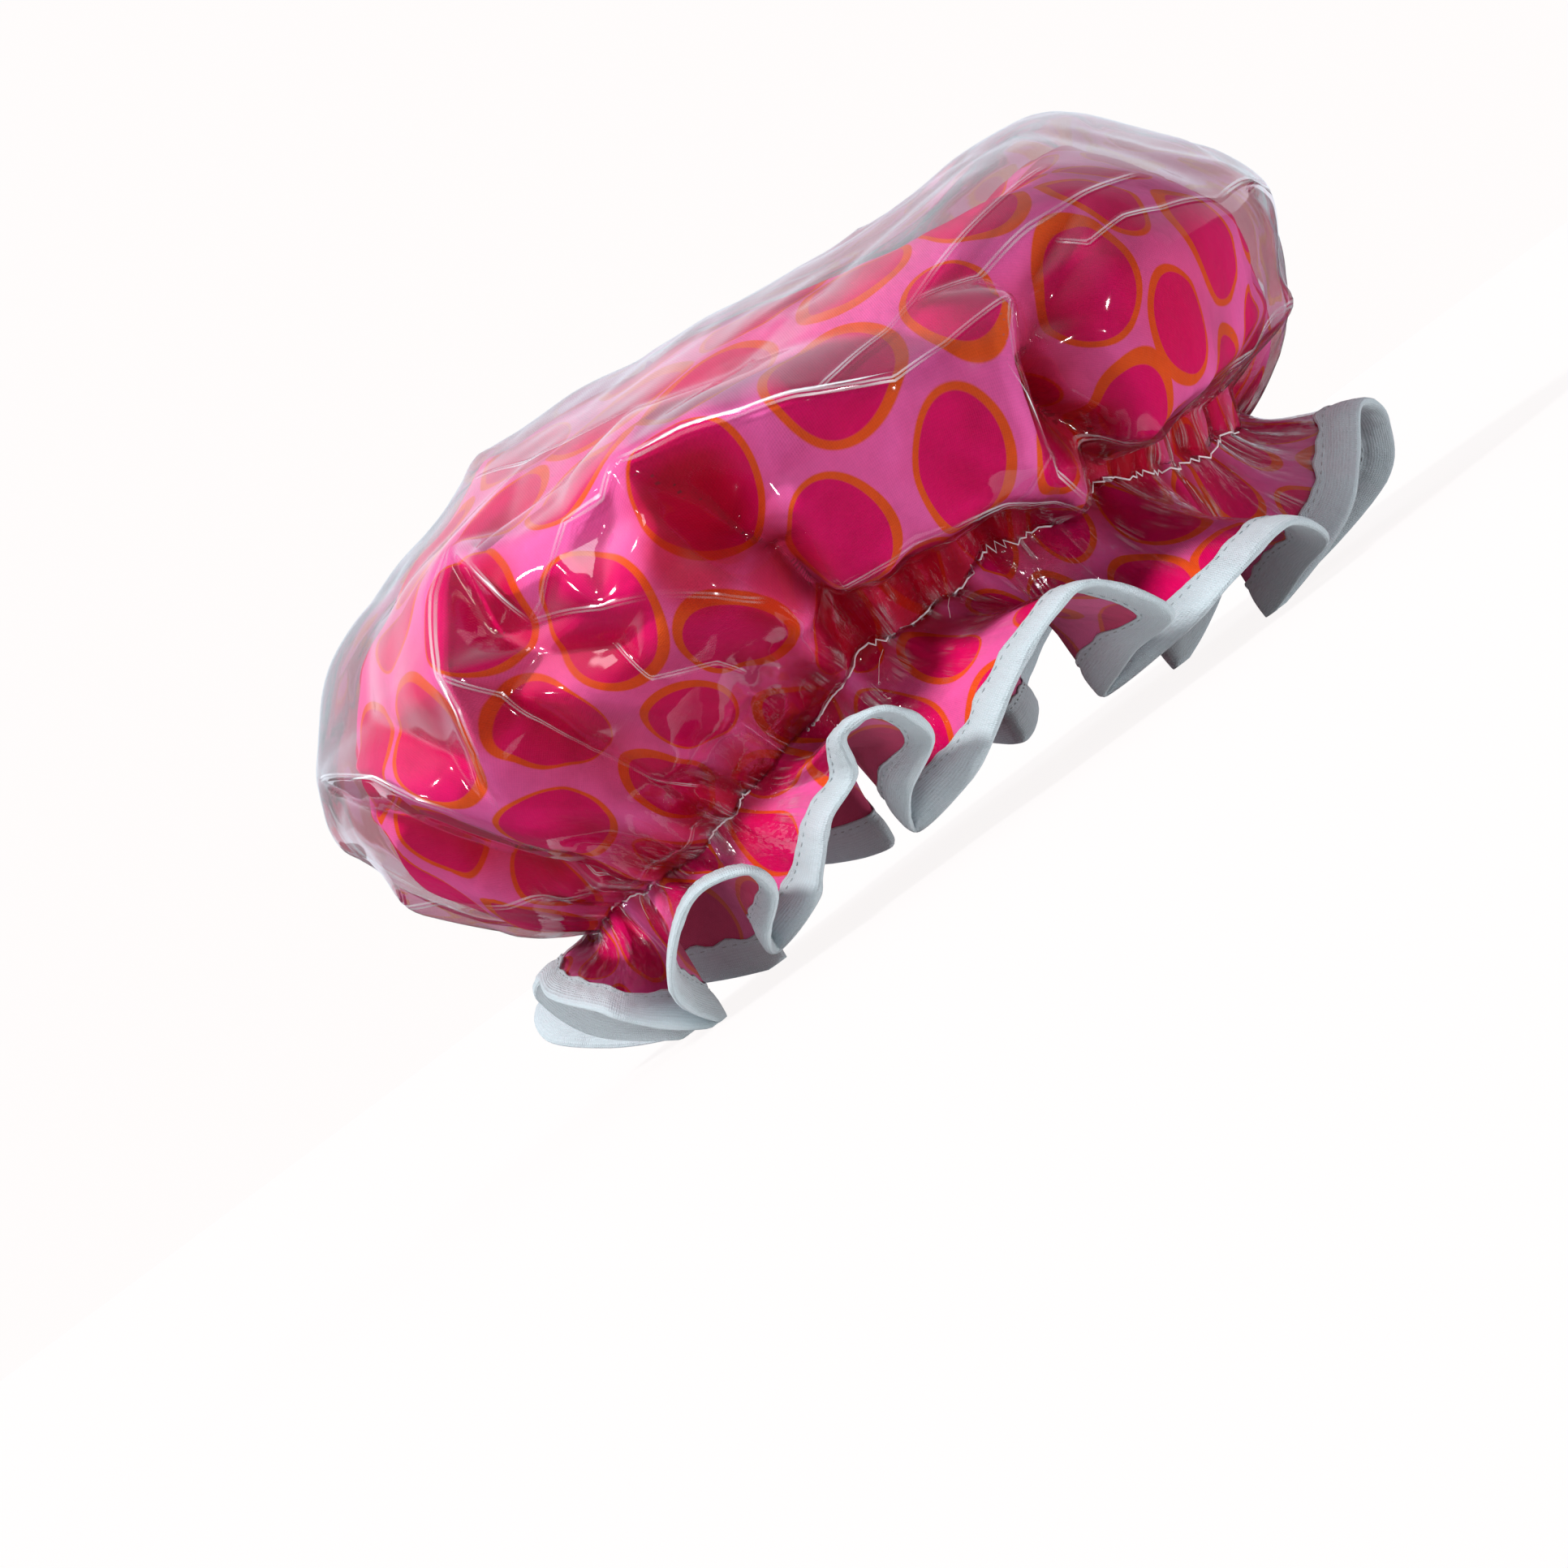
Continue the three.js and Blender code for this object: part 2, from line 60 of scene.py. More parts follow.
def math_operator(operation: str, reflected: bool = False) -> Callable:
    """A Wire's operator.

    Args:
        operation: the operation of its Math node.
        reflected: whether the Wire is the second of the two values.

    Returns:
        The method.
    """
    def method(wire: "Wire", other: "Wire | float") -> "Wire":
        """One Math node on a Wire and another value."""
        return wire.wiring.math(operation, *((other, wire) if reflected else (wire, other)))
    return method


class Wire:
    """A node socket that Python's operators turn into Math nodes."""

    def __init__(self, wiring: "Wiring", socket: bpy.types.NodeSocket) -> None:
        """Keeps an output socket and the wiring that it belongs to."""
        self.wiring, self.socket = wiring, socket

    __add__, __radd__ = math_operator("ADD"), math_operator("ADD", True)
    __sub__, __rsub__ = math_operator("SUBTRACT"), math_operator("SUBTRACT", True)
    __mul__, __rmul__ = math_operator("MULTIPLY"), math_operator("MULTIPLY", True)
    __truediv__, __rtruediv__ = math_operator("DIVIDE"), math_operator("DIVIDE", True)
    __pow__, __rpow__ = math_operator("POWER"), math_operator("POWER", True)

    def __abs__(self) -> "Wire":
        """This value without its sign."""
        return self.wiring.math("ABSOLUTE", self)


class Wiring:
    """Adds nodes to one node tree."""

    def __init__(self, tree: bpy.types.NodeTree) -> None:
        """Starts on the tree that takes the nodes."""
        self.tree = tree

    def connect(self, socket: bpy.types.NodeSocket, value: object) -> None:
        """Links a value to an input socket, or sets it there.

        Args:
            socket: the input socket.
            value: a Wire, a socket, or a plain value.
        """
        if isinstance(value, Wire):
            value = value.socket
        if isinstance(value, bpy.types.NodeSocket):
            self.tree.links.new(value, socket)
        else:
            socket.default_value = value

    def node(self, kind: str, settings: dict | None = None, inputs: dict | None = None) -> bpy.types.Node:
        """Adds a node, sets it, then feeds its sockets.

        Args:
            kind: the node's type name.
            settings: its properties.
            inputs: values or links by socket name or index.

        Returns:
            The new node.
        """
        made = self.tree.nodes.new(kind)
        for name, value in (settings or {}).items():
            setattr(made, name, value)
        for key, value in (inputs or {}).items():
            self.connect(made.inputs[key], value)
        return made

    def wire(self, kind: str, settings: dict | None = None, inputs: dict | None = None,
             output: int | str = 0) -> Wire:
        """Adds a node and gives the output of that name or index."""
        return Wire(self, self.node(kind, settings, inputs).outputs[output])

    def math(self, operation: str, *values: "Wire | float") -> Wire:
        """One Math node on one to three values."""
        return self.wire("ShaderNodeMath", {"operation": operation}, dict(enumerate(values)))

    def vector(self, operation: str, *values: object) -> Wire:
        """One Vector Math node on one or two vectors."""
        return self.wire("ShaderNodeVectorMath", {"operation": operation}, dict(enumerate(values)))

    def held(self, value: Wire) -> Wire:
        """A value kept between 0 and 1."""
        return self.wire("ShaderNodeClamp", inputs={0: value})

    def blend(self, share: "Wire | float", first: object, second: object) -> Wire:
        """A colour between two colours."""
        return self.wire("ShaderNodeMix", {"data_type": "RGBA"}, {0: share, 6: first, 7: second}, 2)

    def noise(self, place: Wire, scale: float, detail: float = 2.0, roughness: float = 0.5) -> Wire:
        """Noise of about 0 to 1 at a place."""
        inputs = {"Vector": place, "Scale": scale, "Detail": detail, "Roughness": roughness}
        return self.wire("ShaderNodeTexNoise", inputs=inputs)

    def bump(self, height: Wire, distance: float, strength: float = 1.0) -> Wire:
        """A normal bent by a height from 0 to 1 that stands for a distance in metres."""
        inputs = {"Height": height, "Distance": distance, "Strength": strength}
        return self.wire("ShaderNodeBump", inputs=inputs)

    def uv(self, name: str) -> Wire:
        """The UV map of that name, in metres."""
        return self.wire("ShaderNodeUVMap", {"uv_map": name})

    def laid_out(self, name: str) -> Wire:
        """The UV map of that name, in millimetres."""
        return self.vector("MULTIPLY", self.uv(name), (1 / MM, 1 / MM, 1 / MM))

    def parts(self, value: object) -> list[Wire]:
        """The three parts of a vector or a colour."""
        return [Wire(self, part) for part in self.node("ShaderNodeSeparateXYZ", inputs={0: value}).outputs]

    def scaled(self, value: object, share: Wire) -> Wire:
        """A vector or a colour times a number."""
        return self.wire("ShaderNodeVectorMath", {"operation": "SCALE"}, {0: value, "Scale": share})

    def ripple(self, place: Wire, length: float, shift: "Wire | float" = 0.0) -> Wire:
        """A wave from 0 to 1 that repeats over a length."""
        return 0.5 + 0.5 * self.math("SINE", place * (2 * math.pi / length) + shift)

    def attribute(self, name: str) -> Wire:
        """The number that the mesh carries under that name."""
        return self.wire("ShaderNodeAttribute", {"attribute_name": name}, output="Fac")


def new_material(name: str, shader: Callable[[Wiring], Wire]) -> bpy.types.Material:
    """Makes a node material.

    Args:
        name: the material's name.
        shader: adds its shader to the wiring and gives it back.

    Returns:
        The material.
    """
    material = bpy.data.materials.new(name)
    material.use_nodes = True
    material.node_tree.nodes.clear()
    wiring = Wiring(material.node_tree)
    wiring.node("ShaderNodeOutputMaterial", inputs={"Surface": shader(wiring)})
    return material


@dataclass(frozen=True)
class FilmFinish:
    """Clear glossy film: see-through when faced, mirror-like at a slant, pale along its creases (partly
    crease whitening, partly painted highlight), with painted highlight streaks along a few creases.

    Its widths and gap are in millimetres, and its scales in turns to a metre.
    """

    tint: tuple = (0.985, 0.985, 0.99, 1)
    gloss_tint: tuple = (0.95, 0.97, 1.0, 1)
    roughness: float = 0.05
    refraction: float = 1.5
    mirror_share: float = 0.8
    crease_whitening_and_highlight_share: float = 0.5
    painted_highlight_share: float = 0.85
    crest_half_width: float = 1.3
    crease_half_gap: float = 0.42
    crease_half_width: float = 0.36
    painted_highlight_half_width: float = 0.9
    fan_whitening_and_highlight_share: float = 0.8
    relief: float = 2.2 * MM
    relief_strength: float = 0.7
    groups: int = 4
    swell_scale: float = 26.0
    scuff_scale: float = 160.0
    patchy_scale: float = 30.0
    fan_scale: float = 34.0
    gap_scale: float = 75.0
    ripple_scale: float = 170.0

    def shader(self, w: Wiring) -> Wire:
        """Mixes the clear film with its gloss.

        Args:
            w: the wiring of the material.

        Returns:
            The shader.
        """
        place = w.uv("flat")
        swell, scuff = w.noise(place, self.swell_scale, 3.0), w.noise(place, self.scuff_scale, 4.0, 0.65)
        patchy = w.held((w.noise(place, self.patchy_scale) - 0.3) * 2.5)
        crest, line = 0.0, 0.0
        for group in range(self.groups):
            away, shown = self._crease(w, str(group))
            crest = w.math("MAXIMUM", crest, shown * w.held(1.0 - away / self.crest_half_width))
            # Pale lines beside the creases: partly crease whitening, partly painted highlight
            beside = abs(away - self.crease_half_gap)
            pale = w.held((self.crease_half_width - beside) / (0.5 * self.crease_half_width))
            line = w.math("MAXIMUM", line, shown * pale)
        drawn = w.attribute("drawn")
        # Pale fan lines near the gathers: partly crease whitening, partly painted highlight
        rays = w.noise(w.vector("NORMALIZE", place), self.fan_scale, 3.0, 0.7)
        broken = w.held((w.noise(place, self.gap_scale) - 0.5) * 7.0)
        fan = drawn * broken * w.held(1.0 - abs(rays - 0.5) * 16.0)
        line = w.math("MAXIMUM", line * patchy, self.fan_whitening_and_highlight_share * fan)
        # Painted highlight: a pale, less metallic streak along some creases that stands in for a lamp's
        # reflection
        away, shown = self._crease(w, "painted_highlight")
        painted_highlight = w.held(3.0 * (shown * w.held(0.6 + 0.8 * patchy) - away / self.painted_highlight_half_width))
        ripples = drawn * (w.noise(place, self.ripple_scale) + 0.5 * rays)
        facing = w.wire("ShaderNodeFresnel", inputs={"IOR": self.refraction})
        both_faces = 2.0 * facing / (1.0 + facing)
        share = self.mirror_share * both_faces + 0.02 * scuff * scuff
        share = w.held(share + self.crease_whitening_and_highlight_share * line + self.painted_highlight_share * painted_highlight)
        gloss = w.wire("ShaderNodeBsdfPrincipled", inputs={
            "Base Color": self.gloss_tint,
            "Metallic": w.held(1.0 - 0.7 * line - painted_highlight),
            "Roughness": w.held(self.roughness + 0.05 * scuff + 0.3 * line),
            "Normal": w.bump(0.35 * swell + 0.25 * crest + 0.6 * ripples, self.relief,
                             self.relief_strength),
        })
        clear = w.wire("ShaderNodeBsdfTransparent", inputs={"Color": self.tint})
        return w.wire("ShaderNodeMixShader", inputs={0: share, 1: clear, 2: gloss})

    @staticmethod
    def _crease(w: Wiring, name: str) -> tuple[Wire, Wire]:
        """Distance from a group of creases in millimetres, and how fully they show."""
        return abs(w.attribute(f"crease_{name}")), w.attribute(f"shown_{name}")


@dataclass(frozen=True)
class PrintFinish:
    """Plain-weave cotton with outlined ovals in like colours, in a layout of its own, with painted shade in
    its folds and soft wrinkles.

    Its sizes are in millimetres, and its scales in turns to a millimetre.
    """

    ground: tuple = (0.91, 0.15, 0.47, 1)
    oval: tuple = (0.79, 0.003, 0.155, 1)
    outline: tuple = (0.86, 0.12, 0.015, 1)
    washed: tuple = (0.92, 0.6, 0.68, 1)
    fading: float = 0.0
    painted_shade_tint: tuple = (0.78, 0.1, 0.07)
    painted_shade_share: float = 0.9
    pitch: float = 38.0
    long_radius: float = 15.2
    outline_width: float = 2.2
    outline_shift: tuple[float, float] = (0.9, 0.6)
    drift: float = 2.6
    wobble: float = 4.0
    edge_sharpness: float = 40.0
    length_spread: float = 0.24
    width_share: float = 0.88
    width_spread: float = 0.14
    outline_spread: float = 0.8
    thread: float = 0.55
    shake_scale: float = 0.035
    slub_scale: float = 0.9
    crumple_scale: float = 0.05
    crumple_height: float = 5.0
    painted_crumple_shade: float = 0.32
    weave_tone: float = 0.1
    slub_tone: float = 0.14
    least_tone: float = 0.69

    def shader(self, w: Wiring) -> Wire:
        """Prints and weaves the cotton, and paints shade into its folds and wrinkles.

        Args:
            w: the wiring of the material.

        Returns:
            The shader.
        """
        flat = w.laid_out("flat")
        shaky = w.wire("ShaderNodeTexNoise", {"noise_dimensions": "2D"},
                       {"Vector": flat, "Scale": self.shake_scale, "Detail": 0.0}, "Color")
        shaky = w.vector("SUBTRACT", shaky, (0.5, 0.5, 0.5))
        place = w.vector("ADD", flat, w.vector("MULTIPLY", shaky, (self.wobble, self.wobble, 0.0)))
        colour = self.ground
        row = self.pitch * math.sqrt(3) / 2
        corners = [(0.0, 0.0), (self.pitch, 0.0), (0.5 * self.pitch, row), (1.5 * self.pitch, row)]
        for turn, corner in enumerate(corners):
            inner, outer = self._oval(w, place, corner, turn)
            colour = w.blend(outer, colour, self.outline)
            colour = w.blend(inner, colour, self.oval)
        if self.fading:
            colour = w.blend(self.fading, colour, self.washed)
        warp, weft, _ = w.parts(flat)
        weave = 0.5 * (w.ripple(warp, self.thread) + w.ripple(weft, self.thread))
        slub = w.noise(flat, self.slub_scale, 3.0, 0.6)
        crumple = w.noise(flat, self.crumple_scale, 3.0, 0.55)
        tone = self.least_tone + self.slub_tone * slub + self.weave_tone * weave
        # Painted shade: where the cloth's mark says so, the colour turns to a darker, redder copy of itself
        # that stands in for shade and light bounced in the folds
        deep = w.vector("MULTIPLY", w.vector("MULTIPLY", colour, colour), self.painted_shade_tint)
        colour = w.blend(self.painted_shade_share * w.attribute("depth"), colour, deep)
        return w.wire("ShaderNodeBsdfPrincipled", inputs={
            # Painted shade of the soft wrinkles that the bump draws: the colour is lighter on their crests
            # and darker in their troughs
            "Base Color": w.scaled(colour, tone + self.painted_crumple_shade * crumple),
            "Roughness": 0.8,
            "Specular IOR Level": 0.1,
            "Sheen Weight": 0.04,
            "Normal": w.bump(self.crumple_height * crumple + 0.1 * weave + 0.05 * slub, MM, 0.7),
        })

    def _oval(self, w: Wiring, place: Wire, corner: tuple[float, float], turn: int) -> tuple[Wire, Wire]:
        """Masks of one oval in each cell of a wide grid.

        Args:
            w: the wiring.
            place: the place on the flat cloth.
            corner: where the grid starts.
            turn: number of the grid, for its own chance values.

        Returns:
            The masks of the oval and of its outline.
        """
        size = (2 * self.pitch, self.pitch * math.sqrt(3), 1.0)
        cells = w.vector("DIVIDE", w.vector("SUBTRACT", place, (*corner, 0.0)), size)
        cell = w.vector("FLOOR", cells)
        middle = w.vector("SUBTRACT", w.vector("SUBTRACT", cells, cell), (0.5, 0.5, 0.0))
        chances = []
        for seed in (0.5, 20.5):
            spot = {"Vector": w.vector("ADD", cell, (0, 0, turn + seed))}
            colour = w.wire("ShaderNodeTexWhiteNoise", inputs=spot, output="Color")
            chances += [part - 0.5 for part in w.parts(colour)]
        drift_x, drift_y, turned, longer, wider, thicker = chances
        x, y, _ = w.parts(w.vector("MULTIPLY", middle, size))
        x, y = x - 2 * self.drift * drift_x, y - 2 * self.drift * drift_y
        angle = 2 * math.pi * turned
        c, s = w.math("COSINE", angle), w.math("SINE", angle)
        along, across = x * c + y * s, y * c - x * s
        long = self.long_radius * (1.0 + self.length_spread * longer)
        wide = long * (self.width_share + self.width_spread * wider)
        rim = self.outline_width * (1.0 + self.outline_spread * thicker)
        right, up = self.outline_shift
        return (self._inside(w, along / long, across / wide),
                self._inside(w, (along - right) / (long + rim), (across - up) / (wide + rim)))

    def _inside(self, w: Wiring, along: Wire, across: Wire) -> Wire:
        """Mask of the inside of a circle of radius 1."""
        distance = w.math("SQRT", along ** 2.0 + across ** 2.0)
        return w.held((1.0 - distance) * self.edge_sharpness + 0.5)


@dataclass(frozen=True)
class TapeFinish:
    """Off-white knitted cotton tape with fine ribs and a little of the print showing through.

    Its sizes are in millimetres, and its scales in turns to a millimetre.
    """

    colour: tuple = (0.62, 0.72, 0.765, 1)
    shade: tuple = (0.46, 0.54, 0.57, 1)
    blush: tuple = (0.72, 0.6, 0.68, 1)
    blush_share: float = 0.25
    rib: float = 0.75
    loop: float = 0.625
    fluff_scale: float = 1.6
    rumple_scale: float = 0.28
    patch_scale: float = 0.06

    def shader(self, w: Wiring) -> Wire:
        """Knits and rumples the tape.

        Args:
            w: the wiring of the material.

        Returns:
            The shader.
        """
        place = w.laid_out("tape")
        along, across, _ = w.parts(place)
        ribs = w.ripple(across, self.rib)
        knit = ribs * w.ripple(along, self.loop, 2.0 * ribs)
        fluff = w.noise(place, self.fluff_scale, 4.0, 0.7)
        rumple = w.noise(place, self.rumple_scale, 3.0, 0.6)
        patches = w.held((w.noise(place, self.patch_scale) - 0.5) * 4.0)
        colour = w.blend(self.blush_share * patches, self.colour, self.blush)
        return w.wire("ShaderNodeBsdfPrincipled", inputs={
            "Base Color": w.blend(w.held(0.4 - 0.7 * knit + 0.3 * fluff), colour, self.shade),
            "Roughness": 0.92,
            "Specular IOR Level": 0.2,
            "Sheen Weight": 0.3,
            "Normal": w.bump(0.16 * knit + 0.2 * fluff + 0.9 * rumple, MM, 0.9),
        })


@dataclass(frozen=True)
class ThreadFinish:
    """Sewing thread, two strands twisted."""

    colour: tuple
    roughness: float = 0.45
    strand_scale: float = 1600.0
    relief: float = 0.1 * MM
    twist: float = 0.9

    def shader(self, w: Wiring) -> Wire:
        """Twists the strands.

        Args:
            w: the wiring of the material.

        Returns:
            The shader.
        """
        strands = w.noise(w.wire("ShaderNodeTexCoord", output="Object"), self.strand_scale, 2.0, 0.6)
        return w.wire("ShaderNodeBsdfPrincipled", inputs={
            "Base Color": w.scaled(self.colour, 0.8 + 0.4 * strands),
            "Roughness": self.roughness,
            "Sheen Weight": 0.2,
            "Normal": w.bump(strands, self.relief, self.twist),
        })


@dataclass(frozen=True)
class ElasticFinish:
    """Woven elastic: lengthwise cords between fine crosswise threads, in millimetres."""

    colour: tuple = (0.78, 0.75, 0.7, 1)
    shade: tuple = (0.55, 0.52, 0.48, 1)
    cord: float = 0.9
    pick: float = 0.6
    relief: float = 0.2 * MM

    def shader(self, w: Wiring) -> Wire:
        """Weaves the elastic.

        Args:
            w: the wiring of the material.

        Returns:
            The shader.
        """
        along, across, _ = w.parts(w.laid_out("tape"))
        height = 0.7 * w.ripple(across, self.cord) + 0.3 * w.ripple(along, self.pick)
        return w.wire("ShaderNodeBsdfPrincipled", inputs={
            "Base Color": w.blend(height, self.shade, self.colour),
            "Roughness": 0.85,
            "Normal": w.bump(height, self.relief),
        })


def spline(rows: object, place: np.ndarray) -> np.ndarray:
    """Smooth curve through rows of numbers.

    Args:
        rows: the rows.
        place: where to read, in steps from the first row.

    Returns:
        One row for each place.
    """
    rows = np.asarray(rows, float)
    index = np.clip(np.floor(place).astype(int), 0, len(rows) - 2)
    f = (place - index)[..., None]
    p0, p1, p2, p3 = (rows[np.clip(index + step, 0, len(rows) - 1)] for step in (-1, 0, 1, 2))
    bend = 2 * p0 - 5 * p1 + 4 * p2 - p3
    twist = 3 * p1 - p0 - 3 * p2 + p3
    return 0.5 * (2 * p1 + (p2 - p0) * f + bend * f**2 + twist * f**3)


def between(low: object, high: object, share: object) -> np.ndarray:
    """Linear mix of two values."""
    return low + (high - low) * share


def unit(vectors: np.ndarray) -> np.ndarray:
    """Vectors of length 1."""
    return vectors / np.maximum(np.linalg.norm(vectors, axis=-1, keepdims=True), 1e-9)


def ways(angle: np.ndarray) -> np.ndarray:
    """Level unit vectors at angles in radians, as x and y."""
    return np.stack([np.cos(angle), np.sin(angle)], -1)


def bell(distance: np.ndarray, reach: object) -> np.ndarray:
    """A hump of height 1 that falls to about a third at its reach."""
    return np.exp(-((distance / reach) ** 2))


def from_segment(place: np.ndarray, start: np.ndarray, end: np.ndarray) -> tuple[np.ndarray, np.ndarray]:
    """Where places lie beside a segment.

    Args:
        place: the places.
        start: the segment's start.
        end: its end.

    Returns:
        The share of the segment that each has passed, and its way from the nearest point.
    """
    step = end - start
    along = ((place - start) @ step) / (step @ step)
    return along, place - (start + np.clip(along, 0, 1)[..., None] * step)


def waves(place: np.ndarray, length: float, count: int, seed: int) -> np.ndarray:
    """Smooth chance values of about -1 to 1, from crossed waves.

    Args:
        place: points, or numbers along a line.
        length: the shortest wave.
        count: how many waves.
        seed: fixes the chance values.

    Returns:
        One value for each point.
    """
    rng = np.random.default_rng(seed)
    place = place if place.ndim > 1 else place[:, None]
    total = np.zeros(place.shape[:-1])
    for _ in range(count):
        way = unit(rng.normal(size=place.shape[-1]))
        turns = 2 * math.pi / (length * rng.uniform(1.0, 2.2))
        total += np.cos(place @ way * turns + rng.uniform(0, 2 * math.pi))
    return total / math.sqrt(0.5 * count) / 1.6


@dataclass(frozen=True)
class Wrinkle:
    """A tent-shaped fold: places as degrees and height shares, then height and reach in millimetres."""

    line: tuple[tuple[float, float], ...]
    height: float
    above: float
    below: float


@dataclass(frozen=True)
class Fold:
    """A fold line of the crown: places as degrees and height share, each with its height in millimetres."""

    line: tuple[tuple[float, float, float], ...]
    group: int = -1


@dataclass
class FoldNet:
    """Fold lines with plain facets between them, over the crown laid out as a disc round its apex.

    Its radius, reaches and heights are in millimetres, and its spots are degrees, height share and height.
    """

    folds: tuple[Fold, ...]
    spots: tuple[tuple[float, float, float], ...]
    radius: float = 200.0
    rim: float = 1.04
    rim_points: int = 36
    cells: int = 760
    groups: int = 4
    nowhere: float = 9.0
    mark_reach: float = 5.0
    mark_ending: float = 2.0

    @staticmethod
    def place(degrees: np.ndarray, share: np.ndarray) -> np.ndarray:
        """Places on the disc, whose edge at 1 is the elastic."""
        return ways(np.radians(degrees)) * (1 - np.asarray(share, float))[..., None]

    @cached_property
    def _sharp(self) -> np.ndarray:
        """Raster of the net's heights, with sharp folds.

        Returns:
            Heights by row and column.
        """
        points, heights, edges = [], [], []
        for fold in self.folds:
            start = len(points)
            points += [self.place(degrees, share) for degrees, share, _ in fold.line]
            heights += [height for _, _, height in fold.line]
            edges += [(start + i, start + i + 1) for i in range(len(fold.line) - 1)]
        points += [self.place(degrees, share) for degrees, share, _ in self.spots]
        heights += [height for _, _, height in self.spots]
        for radius in (1.0, self.rim):
            turn = 360 * np.arange(self.rim_points) / self.rim_points
            points += list(self.place(turn, np.full(self.rim_points, 1 - radius)))
            heights += [0.0] * self.rim_points
        corners, _, faces, origins, _, _ = delaunay_2d_cdt([Vector(p) for p in points], edges, [], 0, 1e-6)
        # Where two fold lines cross, the layer keeps to the smooth crown
        level = np.array([heights[origin[0]] if origin else 0.0 for origin in origins])
        return self._raster(np.array([tuple(c) for c in corners]), level, faces)

    def _raster(self, corners: np.ndarray, level: np.ndarray, faces: list[list[int]]) -> np.ndarray:
        """Fills a raster with the facets.

        Args:
            corners: places of the facets' corners.
            level: their heights.
            faces: corner numbers of each facet.

        Returns:
            Heights by row and column.
        """
        raster = np.zeros((self.cells, self.cells))
        spots = self._cell(corners)
        for face in faces:
            (x0, y0), (x1, y1), (x2, y2) = spots[list(face)]
            low = np.floor(np.min(spots[list(face)], 0)).astype(int)
            high = np.ceil(np.max(spots[list(face)], 0)).astype(int) + 1
            x, y = np.meshgrid(np.arange(low[0], high[0]), np.arange(low[1], high[1]), indexing="ij")
            whole = (x1 - x0) * (y2 - y0) - (x2 - x0) * (y1 - y0)
            if abs(whole) < 1e-9:
                continue
            second = ((x - x0) * (y2 - y0) - (x2 - x0) * (y - y0)) / whole
            third = ((x1 - x0) * (y - y0) - (x - x0) * (y1 - y0)) / whole
            first = 1 - second - third
            value = first * level[face[0]] + second * level[face[1]] + third * level[face[2]]
            inside = np.minimum(np.minimum(first, second), third) > -1e-6
            window = raster[low[0]:high[0], low[1]:high[1]]
            window[inside] = value[inside]
        return raster

    @property
    def _scale(self) -> float:
        """Raster cells to the disc's radius, with a spare cell all round."""
        return 0.5 * (self.cells - 3) / self.rim

    def _cell(self, place: np.ndarray) -> np.ndarray:
        """Raster places of disc places."""
        return (place + self.rim) * self._scale + 1

    def heights(self, blur: float) -> np.ndarray:
        """Raster of the net's heights, with rounded folds.

        Args:
            blur: how far they are rounded, in millimetres.

        Returns:
            Heights by row and column.
        """
        raster = self._sharp
        spread = blur / self.radius * self._scale
        reach = np.arange(-math.ceil(3 * spread), math.ceil(3 * spread) + 1)
        kernel = np.exp(-0.5 * (reach / spread) ** 2)
        kernel /= kernel.sum()
        for _ in range(2):
            raster = np.array([np.convolve(row, kernel, "same") for row in raster]).T
        return raster

    def read(self, raster: np.ndarray, angle: np.ndarray, share: np.ndarray) -> np.ndarray:
        """Heights of a raster at places on the crown.

        Args:
            raster: heights by row and column.
            angle: turns round the cap, in radians.
            share: height shares.

        Returns:
            One height for each place.
        """
        spot = self._cell(self.place(np.degrees(angle), share))
        low = np.clip(np.floor(spot).astype(int), 0, self.cells - 2)
        x, y = np.moveaxis(spot - low, -1, 0)
        i, j = np.moveaxis(low, -1, 0)
        near = between(raster[i, j], raster[i, j + 1], y)
        return between(near, between(raster[i + 1, j], raster[i + 1, j + 1], y), x)

    def marks(self, angle: np.ndarray, share: np.ndarray, folds: list[Fold],
              ending: float) -> tuple[np.ndarray, np.ndarray]:
        """Marks of fold lines on the film.

        Args:
            angle: turns round the cap, in radians.
            share: height shares.
            folds: the fold lines, none near another.
            ending: over what distance the lines fade out at their ends, in millimetres.

        Returns:
            Signed distance in millimetres from the lines, and how fully they show there.
        """
        place = self.place(np.degrees(angle), share)
        best, marks, shown = (np.full(place.shape[:-1], value) for value in (self.nowhere, self.nowhere, 0.0))
        for fold in folds:
            corners = [self.place(degrees, height) for degrees, height, _ in fold.line]
            for i, (start, end) in enumerate(zip(corners[:-1], corners[1:])):
                step = end - start
                along, away = from_segment(place, start, end)
                distance, length = (np.linalg.norm(way, axis=-1) * self.radius for way in (away, step))
                inside = np.full_like(distance, self.nowhere)
                if i == 0:
                    inside = np.minimum(inside, along * length)
                if i == len(corners) - 2:
                    inside = np.minimum(inside, (1 - along) * length)
                side = np.sign(step[0] * away[..., 1] - step[1] * away[..., 0])
                nearer = distance < best
                best = np.where(nearer, distance, best)
                marks = np.where(nearer, distance * np.where(side == 0, 1, side), marks)
                shown = np.where(nearer, np.clip(inside / ending, 0, 1), shown)
        return marks, shown * np.clip((self.mark_reach - best) / self.mark_ending, 0, 1)


